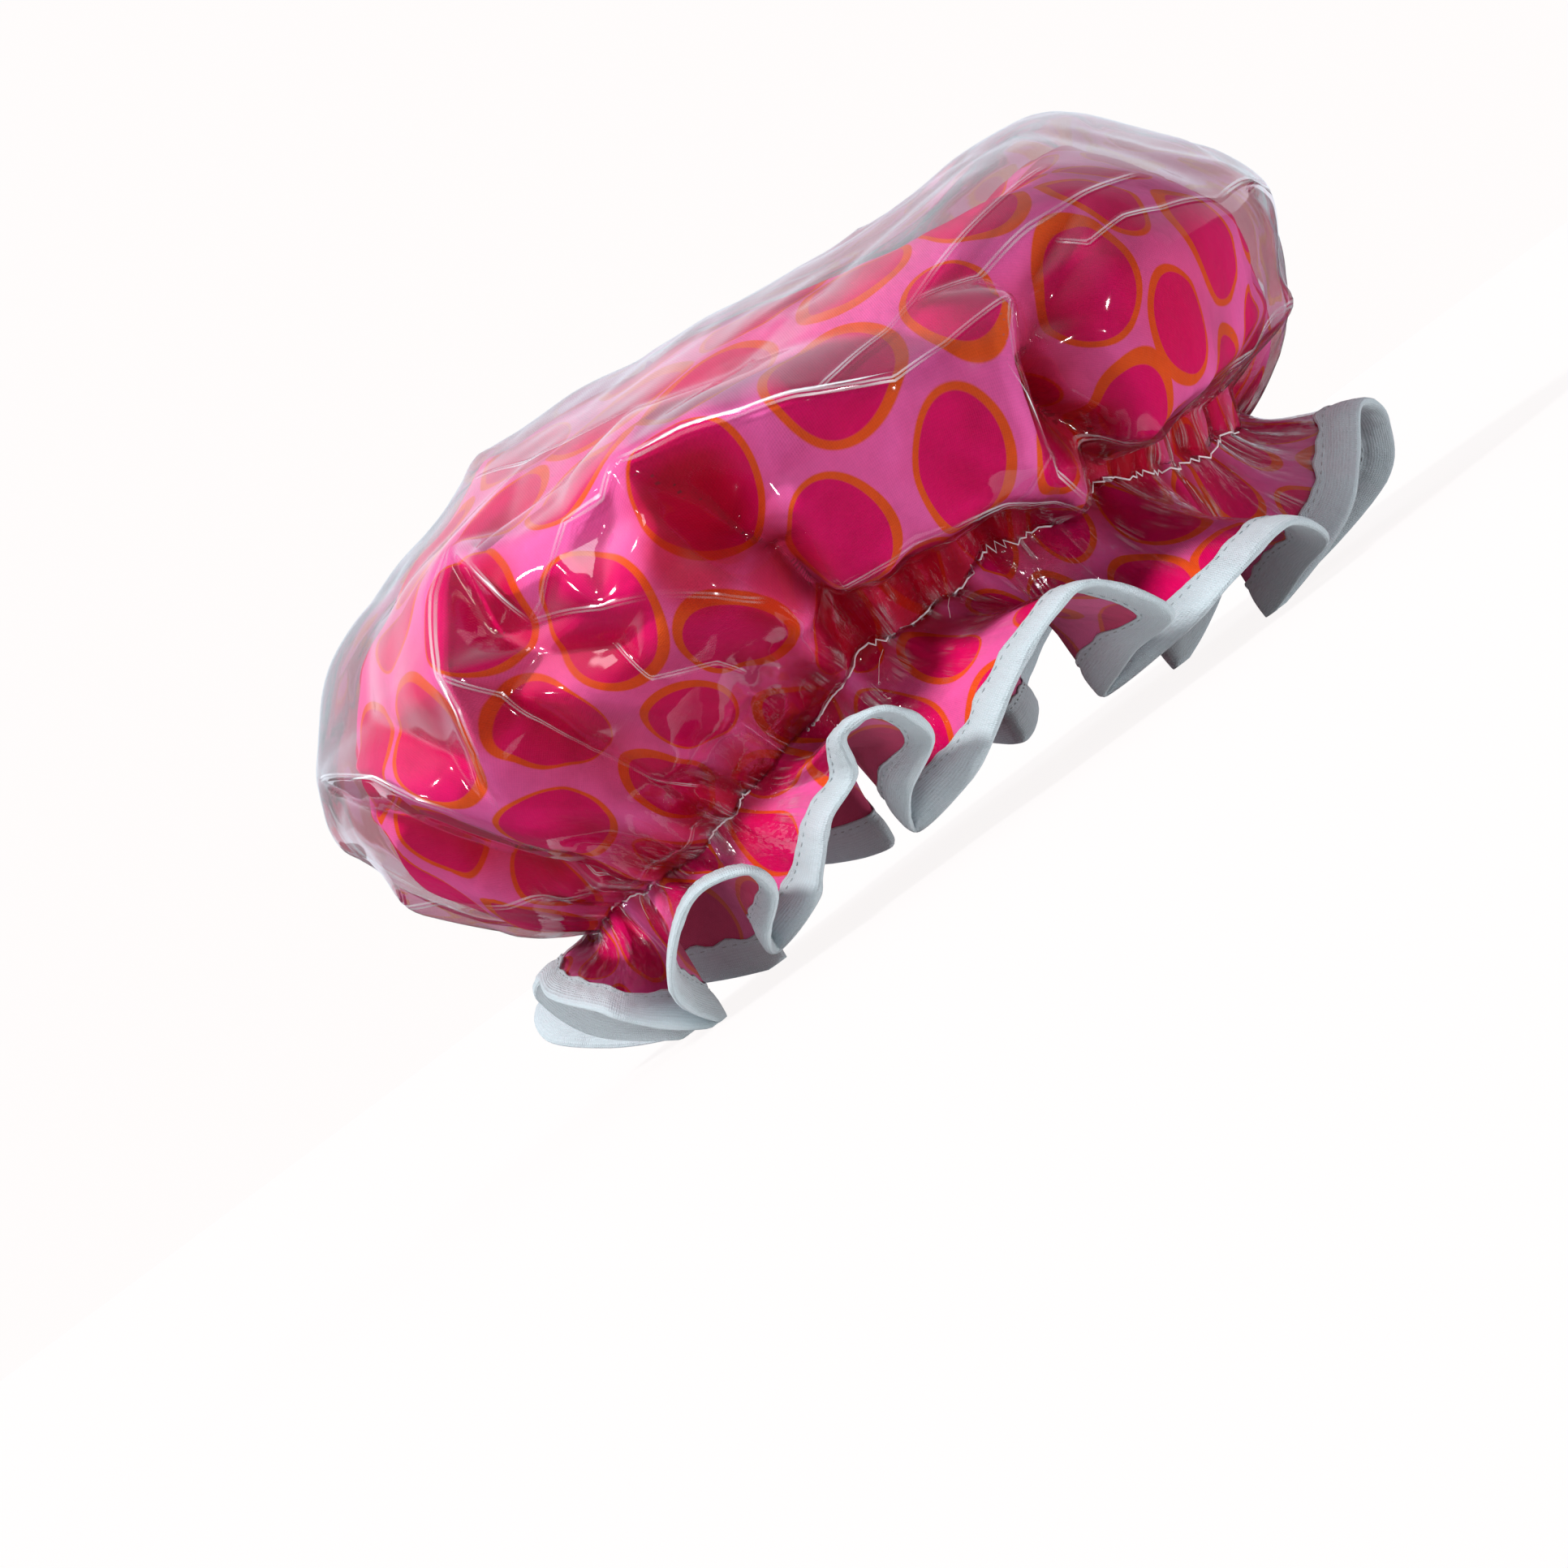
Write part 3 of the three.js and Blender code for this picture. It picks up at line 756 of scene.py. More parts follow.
@dataclass
class CapShape:
    """Middle surface of both layers, in millimetres, with the same sizes as the solids."""

    ring_half_length: float = 110.5
    ring_half_width: float = 82.0
    ring_height: float = 43.0
    ring_front_rise: float = 3.5
    ring_side_rise: float = 9.5
    crown_half_length: float = 148.0
    crown_half_width: float = 124.0
    cap_height: float = 158.5
    apex_setback: float = 8.0
    setback_share: float = 0.6
    frill_reach: float = 42.0
    lobe_rise: float = 40.0
    pleat_depth: float = 7.0
    flare_share: float = 0.35
    drop_share: float = 1.1
    pocket_reach: float = 40.0
    # Where the crown droops at the elastic: degrees, drop, reach in degrees
    sags: tuple = ((-33, 7, 16), (-132, 6, 20))
    sag_share: float = 0.25
    pleat_share: float = 0.25
    least_air_share: float = 0.06
    air_share: float = 0.2
    tent_ends: float = 0.45
    tent_power: float = 1.2
    air_gap: float = 13.0
    binding_width: float = 10.0
    standing: float = 6.37
    centring: tuple[float, float] = (-0.204, -0.325)
    ring_radius: float = 97.0
    fine_pleat: float = 2.2
    fine_pleat_pitch: float = 6.0

    # Outlines from elastic to apex: share from the elastic's to the crown's half size, share of it, height
    front_rows: tuple = (
        [0, 1, 0], [0.35, 1, 0.09], [0.72, 1, 0.2], [1, 1, 0.38], [1, 0.975, 0.53], [1, 0.9, 0.69],
        [1, 0.81, 0.84], [1, 0.7, 0.885], [1, 0.54, 0.86], [1, 0.36, 0.86], [1, 0.14, 0.93], [1, 0, 0.965],
    )
    back_rows: tuple = (
        [0, 1, 0], [0.33, 1, 0.09], [0.72, 1, 0.24], [1, 1, 0.46], [1, 0.985, 0.6], [1, 0.93, 0.71],
        [1, 0.84, 0.83], [1, 0.7, 0.895], [1, 0.52, 0.945], [1, 0.38, 0.99], [1, 0.17, 1], [1, 0, 0.965],
    )
    side_rows: tuple = (
        [0, 1, 0], [0.4, 1, 0.07], [0.78, 1, 0.17], [1, 1, 0.32], [1, 0.985, 0.46], [1, 0.92, 0.6],
        [1, 0.81, 0.71], [1, 0.68, 0.79], [1, 0.52, 0.86], [1, 0.35, 0.91], [1, 0.15, 0.95], [1, 0, 0.965],
    )

    # Lobes of the frill, each from one pinch to the next: degrees, reach share, rise share
    lobes: tuple = (
        ((23, -0.04, 0), (20.5, -0.02, 0), (11.5, 0.6, 0.16), (2.8, 0.7, 0.46),
         (-10.4, 0.57, 0.65), (-17.1, 0.42, 0.42), (-26, 0.28, 0.18)),
        ((-36.5, -0.1, 0), (-39, -0.1, 0), (-42.5, 0.3, 0.1), (-46.4, 0.72, 0.15), (-52.7, 0.91, 0.35),
         (-61.4, 0.94, 0.3), (-65.2, 0.7, 0.24), (-66.8, 0.3, 0.24)),
        ((-72.4, -0.06, 0.24), (-71.4, 0.39, 0.33), (-69.6, 0.9, 0.34), (-75.1, 1.08, 0.74),
         (-79.8, 1.06, 0.73), (-85.1, 0.87, 0.58), (-91.3, 0.57, 0.36), (-96.2, 0.26, 0.29)),
        ((-104, -0.03, 0.26), (-101.2, 0.33, 0.44), (-95.2, 0.73, 0.58), (-96.5, 1.02, 0.85),
         (-101.3, 0.88, 0.88), (-104.3, 0.57, 0.67), (-109.2, 0.54, 0.56), (-113.9, 0.42, 0.38),
         (-119.3, 0.25, 0.24)),
        ((-129.5, 0.06, 0.16), (-124.5, 0.41, 0.23), (-117.5, 0.72, 0.37), (-116.4, 0.93, 0.56),
         (-121.5, 0.93, 0.64), (-127.9, 0.8, 0.53), (-136.1, 0.6, 0.28)),
        ((-146, 0.1, 0), (-149, 0.1, 0), (-143.6, 0.66, 0.27), (-146.4, 0.72, 0.46), (-156.6, 0.6, 0.66),
         (-167.7, 0.4, 0.77), (-178, 0.42, 0.68), (-187, 0.34, 0.33)),
        ((-193, 0.04, 0), (-195.5, 0.02, 0), (-199, 0.5, 0.2), (-201.5, 0.86, 0.43), (-208, 0.98, 0.62),
         (-215, 0.84, 0.48), (-220, 0.4, 0.2)),
        ((-223.5, -0.02, 0), (-226, -0.02, 0), (-228, 0.45, 0.24), (-229, 0.86, 0.48), (-236, 1.03, 0.7),
         (-244, 0.88, 0.58), (-248.5, 0.42, 0.3)),
        ((-253, -0.04, 0.18), (-255.5, 0.4, 0.34), (-254.8, 0.86, 0.58), (-261, 1.06, 0.8),
         (-269, 0.95, 0.72), (-273.5, 0.5, 0.38)),
        ((-279, -0.05, 0.22), (-281.8, 0.42, 0.3), (-281.5, 0.92, 0.44), (-289, 1.02, 0.68),
         (-297, 0.88, 0.5), (-301.5, 0.42, 0.24)),
        ((-306, -0.05, 0), (-308.5, -0.05, 0), (-311, 0.4, 0.16), (-311.5, 0.8, 0.3), (-318, 0.92, 0.48),
         (-326, 0.78, 0.38), (-331, 0.35, 0.14)),
    )

    # Fold lines of the near side, with the group of each that marks the film
    folds: tuple[Fold, ...] = (
        Fold(((-103, 0.46, 17), (-96, 0.44, 19), (-90, 0.41, 19), (-84, 0.38, 18), (-78, 0.34, 17),
              (-72, 0.34, 15), (-64, 0.34, 15)), 0),
        Fold(((-84, 0.38, 18), (-74, 0.41, 8), (-70, 0.42, 8), (-60, 0.45, 8), (-44, 0.46, 8)), 1),
        Fold(((-70, 0.42, 8), (-63, 0.4, 6), (-54, 0.41, 8), (-46, 0.4, 8), (-38, 0.38, 8)), 2),
        Fold(((-103, 0.46, 17), (-106, 0.45, 11), (-111, 0.46, 10), (-114, 0.43, 8), (-118, 0.41, 2),
              (-121, 0.41, -3)), 1),
        Fold(((-103, 0.46, 17), (-103, 0.4, 12), (-102, 0.34, 8), (-99, 0.24, 5), (-97, 0.17, 1))),
        Fold(((-98, 0.4, -3), (-97.5, 0.36, -10), (-95, 0.26, -16), (-94, 0.1, -14), (-94, 0.04, -6))),
        Fold(((-90, 0.41, 19), (-92, 0.36, 6), (-92, 0.28, 5), (-93, 0.2, 6))),
        Fold(((-121, 0.41, -3), (-112, 0.35, 6), (-107, 0.32, 8), (-102, 0.28, 8), (-99, 0.24, 5)), 2),
        Fold(((-99, 0.24, 5), (-99, 0.16, 1))),
        Fold(((-114, 0.31, -5), (-113, 0.24, 0), (-107, 0.21, 1), (-106, 0.16, -2)), 3),
        Fold(((-124, 0.5, 10), (-122, 0.45, 7), (-121, 0.41, -3)), 0),
        Fold(((-124, 0.5, 10), (-128, 0.49, -4), (-127, 0.44, -5), (-122, 0.37, -4))),
        Fold(((-130, 0.57, 6), (-131, 0.5, 8), (-131, 0.44, 9), (-131, 0.39, 11), (-131, 0.34, 9),
              (-132, 0.29, 8), (-136, 0.23, 6)), 3),
        Fold(((-131, 0.39, 11), (-128, 0.34, -3), (-127, 0.27, -7), (-126, 0.2, -7), (-124, 0.13, -5),
              (-122, 0.07, -4)), 1),
        Fold(((-170, 0.38, 3), (-148, 0.33, 6), (-143, 0.29, 8), (-140, 0.26, 8), (-138, 0.23, 8),
              (-138, 0.19, 6), (-138, 0.16, 4)), 0),
        Fold(((-168, 0.34, -2), (-160, 0.27, -8), (-156, 0.2, -10), (-152, 0.15, -9), (-147, 0.1, -4))),
        Fold(((-178, 0.23, 3), (-164, 0.19, 4), (-158, 0.14, 5), (-153, 0.1, 3), (-149, 0.06, 1)), 2),
        Fold(((-142, 0.13, 1), (-143, 0.09, 4), (-139, 0.06, 4), (-133, 0.05, 4), (-126, 0.04, 1)), 3),
        Fold(((-64, 0.34, 15), (-66, 0.32, 15), (-68, 0.29, 15), (-69, 0.25, 15), (-69, 0.21, 15),
              (-68, 0.17, 12), (-62, 0.06, 3)), 3),
        Fold(((-60, 0.36, -3), (-61, 0.32, -9), (-63, 0.27, -15), (-63, 0.21, -17), (-61, 0.14, -16),
              (-56, 0.06, -8))),
        Fold(((-63, 0.27, -15), (-60, 0.21, 0), (-58, 0.17, 4), (-56, 0.12, 7))),
        Fold(((-61, 0.12, 0), (-56, 0.12, 7), (-52, 0.12, 11), (-48, 0.14, 11), (-43, 0.15, 11),
              (-33, 0.15, 9), (-5, 0.15, 6)), 1),
        Fold(((-53, 0.04, -6), (-46, 0.05, -8), (-36, 0.05, -9), (-24, 0.05, -9), (-8, 0.05, -4))),
        Fold(((-93, 0.2, 6), (-88, 0.2, 9), (-82, 0.19, 10), (-74, 0.17, 10), (-68, 0.12, 8),
              (-62, 0.06, 3)), 0),
        Fold(((-94, 0.04, -6), (-88, 0.07, -9), (-82, 0.07, -9), (-74, 0.06, -8), (-66, 0.04, -5))),
        Fold(((-52, 0.39, 2), (-51, 0.35, 6), (-45, 0.35, 6), (-40, 0.33, 6), (-31, 0.3, 6), (-12, 0.28, 6),
              (5, 0.3, 4)), 0),
        Fold(((-150, 0.75, 2), (-125, 0.7, 2), (-100, 0.62, 3)), 2),
    )
    # Heights between the fold lines: degrees, height share, height
    spots: tuple[tuple[float, float, float], ...] = (
        (-86, 0.34, 9), (-83, 0.27, 8), (-74, 0.27, 10), (-78, 0.22, 7), (-120, 0.27, 1), (-115, 0.2, 1),
        (-111, 0.12, -2), (-143, 0.82, 0), (-105, 0.76, 0), (-88, 0.55, 0), (-52, 0.24, 6), (-42, 0.24, 6),
        (-36, 0.18, 6), (-150, 0.42, -1), (-150, 0.55, 0), (-137, 0.3, 0), (-130, 0.13, 0), (-160, 0.62, 0),
        (-108, 0.43, 5), (-123, 0.57, 0), (-114, 0.58, 1), (-60, 0.6, 0), (-30, 0.55, 1),
    )
    far_spots: tuple[tuple[float, float, float], ...] = (
        (0, 1, 0), (-20, 0.75, 1), (60, 0.78, -1), (140, 0.8, 1), (15, 0.5, -1), (172, 0.55, -1),
        (8, 0.12, 4), (8, 0.04, -4), (172, 0.12, 3), (-172, 0.04, -3), (-10, 0.2, 2), (178, 0.4, 2),
    )
    # The near side's folds are mirrored between these degrees
    far_reach: tuple[float, float] = (14, 164)
    # Hollows with painted shade: degrees, height share, strength of the painted shade, reach
    hollows: tuple = (
        (-99, 0.4, 0.9, 13), (-102, 0.33, 0.9, 12), (-97, 0.23, 0.8, 12), (-103, 0.12, 0.6, 13),
        (-123, 0.46, 0.6, 9), (-130, 0.33, 0.6, 10), (-154, 0.2, 0.9, 13), (-149, 0.14, 0.8, 11),
        (-60, 0.14, 1, 10), (-56, 0.05, 1, 10), (-80, 0.03, 0.9, 13), (-90, 0.07, 0.6, 12),
        (-50, 0.06, 0.8, 9), (-124, 0.13, 0.5, 12), (-113, 0.22, 0.35, 16), (-126, 0.27, 0.4, 13),
        (-139, 0.42, 0.35, 14), (-112, 0.04, 0.7, 14), (-135, 0.06, 0.7, 14), (-122, 0.04, 0.6, 13),
        (-100, 0.05, 0.6, 12), (-45, 0.26, 0.3, 20), (-36, 0.06, 0.7, 12),
    )
    mirrored_turn: float = 13.0
    mirrored_place_share: float = 0.93
    mirrored_height_share: float = 0.7
    # Pockets of air under the film: degrees, height share, share of the gap, reach share
    pockets: tuple = (
        (-28, 0.66, 1.0, 1.1), (30, 0.66, 0.7, 1.0), (-8, 0.3, 0.7, 1.0),
        (178, 0.4, 0.85, 1.2), (130, 0.5, 0.3, 1.0),
    )

    def crown(self, angle: np.ndarray, share: np.ndarray) -> np.ndarray:
        """Smooth crown.

        Args:
            angle: turn round the cap from the front, in radians.
            share: 0 at the elastic, 1 at the apex.

        Returns:
            Points.
        """
        angle, share = np.broadcast_arrays(np.asarray(angle, float), np.asarray(share, float))
        c, s = np.cos(angle), np.sin(angle)
        place = np.clip(share, 0, 1) * (len(self.side_rows) - 1)
        long = np.where((c > 0)[..., None], spline(self.front_rows, place), spline(self.back_rows, place))
        wide = spline(self.side_rows, place)
        half_length = between(self.ring_half_length, self.crown_half_length, long[..., 0]) * long[..., 1]
        half_width = between(self.ring_half_width, self.crown_half_width, wide[..., 0]) * wide[..., 1]
        height = long[..., 2] * c * c + wide[..., 2] * s * s
        above = np.maximum((share - self.setback_share) / (1 - self.setback_share), 0)
        setback = self.apex_setback * above**1.5
        ring = self.ring_height + self.ring_front_rise * c + self.ring_side_rise * s * s
        level = between(ring, self.cap_height, height)
        for degrees, drop, reach in self.sags:
            turn = (np.degrees(angle) - degrees + 180) % 360 - 180
            level = level - drop * bell(turn, reach) * np.maximum(1 - share / self.sag_share, 0) ** 1.5
        return np.stack([half_length * c - setback, half_width * s, level], -1)

    def crown_normal(self, angle: np.ndarray, share: np.ndarray) -> np.ndarray:
        """Outward unit normals of the smooth crown.

        Args:
            angle: turns round the cap, in radians.
            share: height shares.

        Returns:
            One normal for each place.
        """
        step = 0.01
        angle, share = np.broadcast_arrays(np.asarray(angle, float), np.asarray(share, float))
        along = self.crown(angle + step, share) - self.crown(angle, share)
        up = self.crown(angle, np.minimum(share + step, 1)) - self.crown(angle, share - step)
        normal = np.cross(along, up)
        normal[np.linalg.norm(normal, axis=-1) < 1e-6] = (0, 0, 1)
        return unit(normal)

    def net(self) -> FoldNet:
        """The fold net of both sides of the crown.

        Returns:
            The net, with the near side's folds turned and lowered a little on the far side.
        """
        low, high = self.far_reach
        folds, spots = list(self.folds), [*self.spots, *self.far_spots]
        for fold in self.folds:
            line = tuple(p for p in map(self._mirrored, fold.line) if low < p[0] < high)
            if len(line) > 1:
                folds.append(Fold(line, fold.group))
        spots += [p for p in map(self._mirrored, self.spots) if low < p[0] < high]
        return FoldNet(tuple(folds), tuple(spots))

    def _mirrored(self, spot: tuple[float, float, float]) -> tuple[float, float, float]:
        """The like spot on the far side, turned, lowered and less high."""
        degrees, share, height = spot
        return (-degrees - self.mirrored_turn, share * self.mirrored_place_share,
                height * self.mirrored_height_share)

    def lift(self, fold: Wrinkle, points: np.ndarray, soft: float) -> np.ndarray:
        """Height of one tent-shaped fold.

        Args:
            fold: the fold.
            points: places on the smooth crown.
            soft: how far its ridge is rounded, in millimetres.

        Returns:
            The lift at each place.
        """
        angles, shares = np.radians([p[0] for p in fold.line]), np.array([p[1] for p in fold.line])
        corners = self.crown(angles, shares)
        count = len(corners) - 1
        best = np.full(points.shape[:-1], np.inf)
        rise, end = np.zeros_like(best), np.zeros_like(best)
        for i in range(count):
            along, away = from_segment(points, corners[i], corners[i + 1])
            along, distance = np.clip(along, 0, 1), np.linalg.norm(away, axis=-1)
            nearer = distance < best
            best = np.where(nearer, distance, best)
            rise = np.where(nearer, away[..., 2], rise)
            end = np.where(nearer, np.minimum(i + along, count - i - along), end)
        upper = np.clip(0.5 + 0.9 * rise / np.maximum(best, 0.3), 0, 1)
        rounded = np.hypot(best, soft) - soft * 0.6
        slope = np.maximum(1 - rounded / between(fold.below, fold.above, upper), 0)
        return fold.height * slope**self.tent_power * between(self.tent_ends, 1, np.minimum(end, 1))

    def air(self, points: np.ndarray, share: np.ndarray) -> np.ndarray:
        """Distance between film and cloth over the crown.

        Args:
            points: places on the smooth crown.
            share: their height shares.

        Returns:
            The distance in millimetres.
        """
        total = np.full(points.shape[:-1], self.least_air_share)
        for degrees, height, most, reach in self.pockets:
            away = np.linalg.norm(points - self.crown(np.radians(degrees), height), axis=-1)
            total += most * bell(away, self.pocket_reach * reach)
        return self.air_gap * np.minimum(total, 1) * np.minimum(share / self.air_share, 1)

    def columns(self, count: int) -> dict[str, np.ndarray]:
        """Columns of the cap, closer together than the hem's rows.

        Args:
            count: how many columns.

        Returns:
            For each column its hem angle, ring angle, reach, rise and swell.
        """
        rows = []
        starts = [lobe[0][0] for lobe in self.lobes]
        for lobe, start, following in zip(self.lobes, starts, [*starts[1:], starts[0] - 360]):
            for step, (degrees, reach, rise) in enumerate(lobe):
                rows.append((degrees, between(start, following, step / len(lobe)), reach, rise))
        table = np.array(rows, float)
        reach = table[:, 2]
        swell = sum(np.roll(reach, step) for step in range(-2, 3)) / 5 - 0.5
        table = np.column_stack([np.radians(table[:, :2]), table[:, 2:], swell])
        turn = np.array([2 * math.pi, 2 * math.pi, 0, 0, 0])
        padded = np.concatenate([table[-2:] + turn, table, table[:3] - turn])
        found = spline(padded, 2 + np.arange(count) / count * len(table))
        return dict(zip(("hem", "ring", "reach", "rise", "swell"), found.T))

    def ring_points(self, cols: dict[str, np.ndarray], swell: np.ndarray, outwards: float = 0.0,
                    up: float = 0.0) -> np.ndarray:
        """Places on the elastic line, moved outwards from its oval and up.

        Args:
            cols: the columns.
            swell: share of the pleat depth by which each column stands out.
            outwards: further distance outwards.
            up: distance up.

        Returns:
            One point for each column.
        """
        points = self.crown(cols["ring"], 0.0) + (0, 0, up)
        points[:, :2] += ways(cols["ring"]) * (self.pleat_depth * swell + outwards)[:, None]
        return points

    def hem_frames(self, cols: dict[str, np.ndarray]) -> tuple[np.ndarray, np.ndarray]:
        """Middle of the binding at each column, and the way the cloth runs there.

        Args:
            cols: the columns.

        Returns:
            One point and one unit vector for each column.
        """
        outward = np.pad(ways(cols["hem"]), ((0, 0), (0, 1)))
        middle = outward * (self.ring_half_length, self.ring_half_width, 0)
        middle += outward * (self.frill_reach * cols["reach"])[:, None]
        middle[:, 2] = self.standing + self.lobe_rise * cols["rise"]
        heading = unit(middle - self.ring_points(cols, cols["swell"]))
        heading = unit(heading + outward * (self.flare_share * np.maximum(cols["reach"], 0))[:, None])
        return middle, heading

    def frill(self, cols: dict[str, np.ndarray], shares: np.ndarray) -> np.ndarray:
        """Rows of the frill.

        Args:
            cols: the columns.
            shares: 0 at the elastic, 1 at the inner edge of the binding, 2 at the cut edge.

        Returns:
            Points, a row for each share.
        """
        middle, heading = self.hem_frames(cols)
        edge = middle - heading * 0.5 * self.binding_width
        start = self.ring_points(cols, cols["swell"])
        third = np.linalg.norm(edge - start, axis=-1, keepdims=True) / 3
        leave = unit(heading + np.array((0, 0, -self.drop_share)))
        first, second = start + leave * third, edge - heading * third
        t = np.minimum(shares, 1)[:, None, None]
        curve = (1 - t)**3 * start + 3 * t * (1 - t)**2 * first + 3 * t**2 * (1 - t) * second + t**3 * edge
        return curve + heading * self.binding_width * np.maximum(shares - 1, 0)[:, None, None]


@dataclass
class Surface:
    """One layer as a grid of points: rows from the cut edge up to the crown, columns round the cap.

    It has its points and its pole, their places on the flat cut sheet, their distance above the elastic along
    the sheet, all in millimetres, and the marks that its finish reads.
    """

    points: np.ndarray
    top: np.ndarray
    flat: np.ndarray
    arc: np.ndarray
    marks: dict[str, np.ndarray] = field(default_factory=dict)

    @staticmethod
    def grid_normals(points: np.ndarray) -> np.ndarray:
        """Outward normals of a grid that is closed round the cap.

        Args:
            points: rows and columns of points.

        Returns:
            One normal for each point.
        """
        along = np.roll(points, -1, 1) - np.roll(points, 1, 1)
        up = np.gradient(points, axis=0)
        return unit(np.cross(up, along))

    def moved(self, distance: object) -> np.ndarray:
        """The grid's points moved outwards along their normals."""
        return self.points + self.grid_normals(self.points) * distance[..., None]

    def beside_ring(self, place: np.ndarray, rise: np.ndarray, lift: float) -> tuple[np.ndarray, np.ndarray]:
        """Places on the layer near the elastic.

        Args:
            place: column numbers, which may lie between two columns.
            rise: distance above the elastic along the layer.
            lift: distance off the layer.

        Returns:
            Points and outward normals.
        """
        rows, count = self.arc.shape
        grids = np.stack([self.points, self.grid_normals(self.points)])
        low, ends = np.floor(place).astype(int), []
        for column in (low % count, (low + 1) % count):
            row = np.array([np.interp(up, self.arc[:, c], np.arange(rows)) for up, c in zip(rise, column)])
            base = np.minimum(row.astype(int), rows - 2)
            ends.append(between(grids[:, base, column], grids[:, base + 1, column], (row - base)[:, None]))
        points, outs = between(*ends, (place - low)[:, None])
        outs = unit(outs)
        return points + outs * lift, outs


@dataclass
class Sewing:
    """Cuts and gathers both layers of the cap."""

    shape: CapShape
    net: FoldNet
    crown_rows: int = 150
    frill_rows: int = 20
    tape_rows: int = 4
    cut_edge_share: float = 1.8
    last_row_share: float = 0.988
    pull_count: int = 38
    pull_slant: float = 9.0
    pull_rise: tuple[float, float] = (0.1, 0.24)
    pull_depth: tuple[float, float] = (2.0, 4.6)
    pull_reach: tuple[float, float] = (7, 11)
    crumple_count: int = 44
    crumple_turn: float = 11.0
    crumple_rise: float = 0.08
    crumple_depth: tuple[float, float] = (0.9, 2.0)
    crumple_reach: tuple[float, float] = (5, 12)
    film_round: float = 1.2
    cloth_round: float = 1.7
    painted_shade_round: float = 3.0
    fold_round: float = 0.8
    pull_round: float = 1.5
    half_gap: float = 0.35
    wave_count: int = 22
    pucker: float = 1.1
    pucker_length: float = 16.0
    slack: float = 0.8
    slack_length: float = 24.0
    # Painted shade on the cloth: below a fold height, in the hollows, over the frill and between the pleats
    painted_shade_level: float = 8.0
    painted_shade_span: float = 19.0
    hollow_level: float = 17.0
    hollow_span: float = 6.0
    frill_painted_shade: float = 0.08
    pleat_painted_shade: float = 0.7
    painted_shade_reach: tuple[float, float] = (18, 12)
    drawn_reach: tuple[float, float] = (20, 32)
    pleat_reach: float = 26.0
    pleat_reach_spread: float = 9.0
    pleat_reach_below: float = 15.0
    crease_ending: float = 3.0
    painted_highlight_ending: float = 22.0
    seed: int = 7

    film_lines: tuple[Wrinkle, ...] = (
        Wrinkle(((-137, 0.24), (-135, 0.19), (-137, 0.13)), 3.2, 9, 9),
        Wrinkle(((-136, 0.2), (-131, 0.12), (-130, 0.07)), 2.2, 7, 7),
        Wrinkle(((-57, 0.34), (-55, 0.25), (-52, 0.31)), 1.6, 6, 6),
        Wrinkle(((-77, 0.27), (-74, 0.22), (-68, 0.19)), 1.2, 6, 5),
        Wrinkle(((-98, 0.55), (-90, 0.55), (-80, 0.5)), 1.0, 9, 9),
        Wrinkle(((-108, 0.14), (-104, 0.17), (-101, 0.12)), 1.6, 6, 6),
        Wrinkle(((-60, 0.5), (-48, 0.52), (-36, 0.5)), 1.2, 8, 8),
        Wrinkle(((-28, 0.49), (-29, 0.4), (-24, 0.33), (-17, 0.29)), 1.4, 7, 7),
    )

    # Stretches of crease with a painted highlight, a pale streak that stands in for a lamp's reflection
    painted_highlight_lines: tuple = (
        ((-101.5, 0.457, 0), (-96, 0.442, 0), (-90, 0.413, 0), (-84, 0.385, 0), (-77, 0.343, 0)),
        ((-124.5, 0.505, 0), (-122, 0.452, 0), (-121, 0.415, 0)),
        ((-156, 0.352, 0), (-148, 0.332, 0), (-144, 0.3, 0)),
        ((-131, 0.41, 0), (-131, 0.37, 0), (-131.3, 0.33, 0)),
        ((-69, 0.3, 0), (-69, 0.25, 0), (-69, 0.2, 0)),
    )

    def pulls(self) -> list[Wrinkle]:
        """Folds that fan out from the gathers.

        Returns:
            The folds, all round the cap.
        """
        rng = np.random.default_rng(self.seed)
        made = []
        for index in range(self.pull_count):
            start = -360 * (index + rng.uniform(-0.3, 0.3)) / self.pull_count
            slant, height = rng.uniform(-self.pull_slant, self.pull_slant), rng.uniform(*self.pull_rise)
            line = ((start, 0.0), (start + 0.4 * slant, 0.5 * height), (start + slant, height))
            depth = rng.choice((-1, 1)) * rng.uniform(*self.pull_depth)
            made.append(Wrinkle(line, depth, *rng.uniform(*self.pull_reach, 2)))
        return made

    def crumples(self) -> list[Wrinkle]:
        """Small folds all over the crown.

        Returns:
            The folds, each turned by the golden angle.
        """
        rng = np.random.default_rng(self.seed + 5)
        made = []
        for index in range(self.crumple_count):
            angle, share = 137.5 * index, 1 - math.sqrt(rng.uniform(0.03, 0.8))
            turn = rng.uniform(-self.crumple_turn, self.crumple_turn)
            height = rng.uniform(-self.crumple_rise, self.crumple_rise)
            bend = rng.uniform(-2, 2)
            line = ((angle - turn, share - height), (angle + bend, share), (angle + turn, share + height))
            depth = rng.choice((-1, 1)) * rng.uniform(*self.crumple_depth)
            made.append(Wrinkle(line, depth, *rng.uniform(*self.crumple_reach, 2)))
        return made

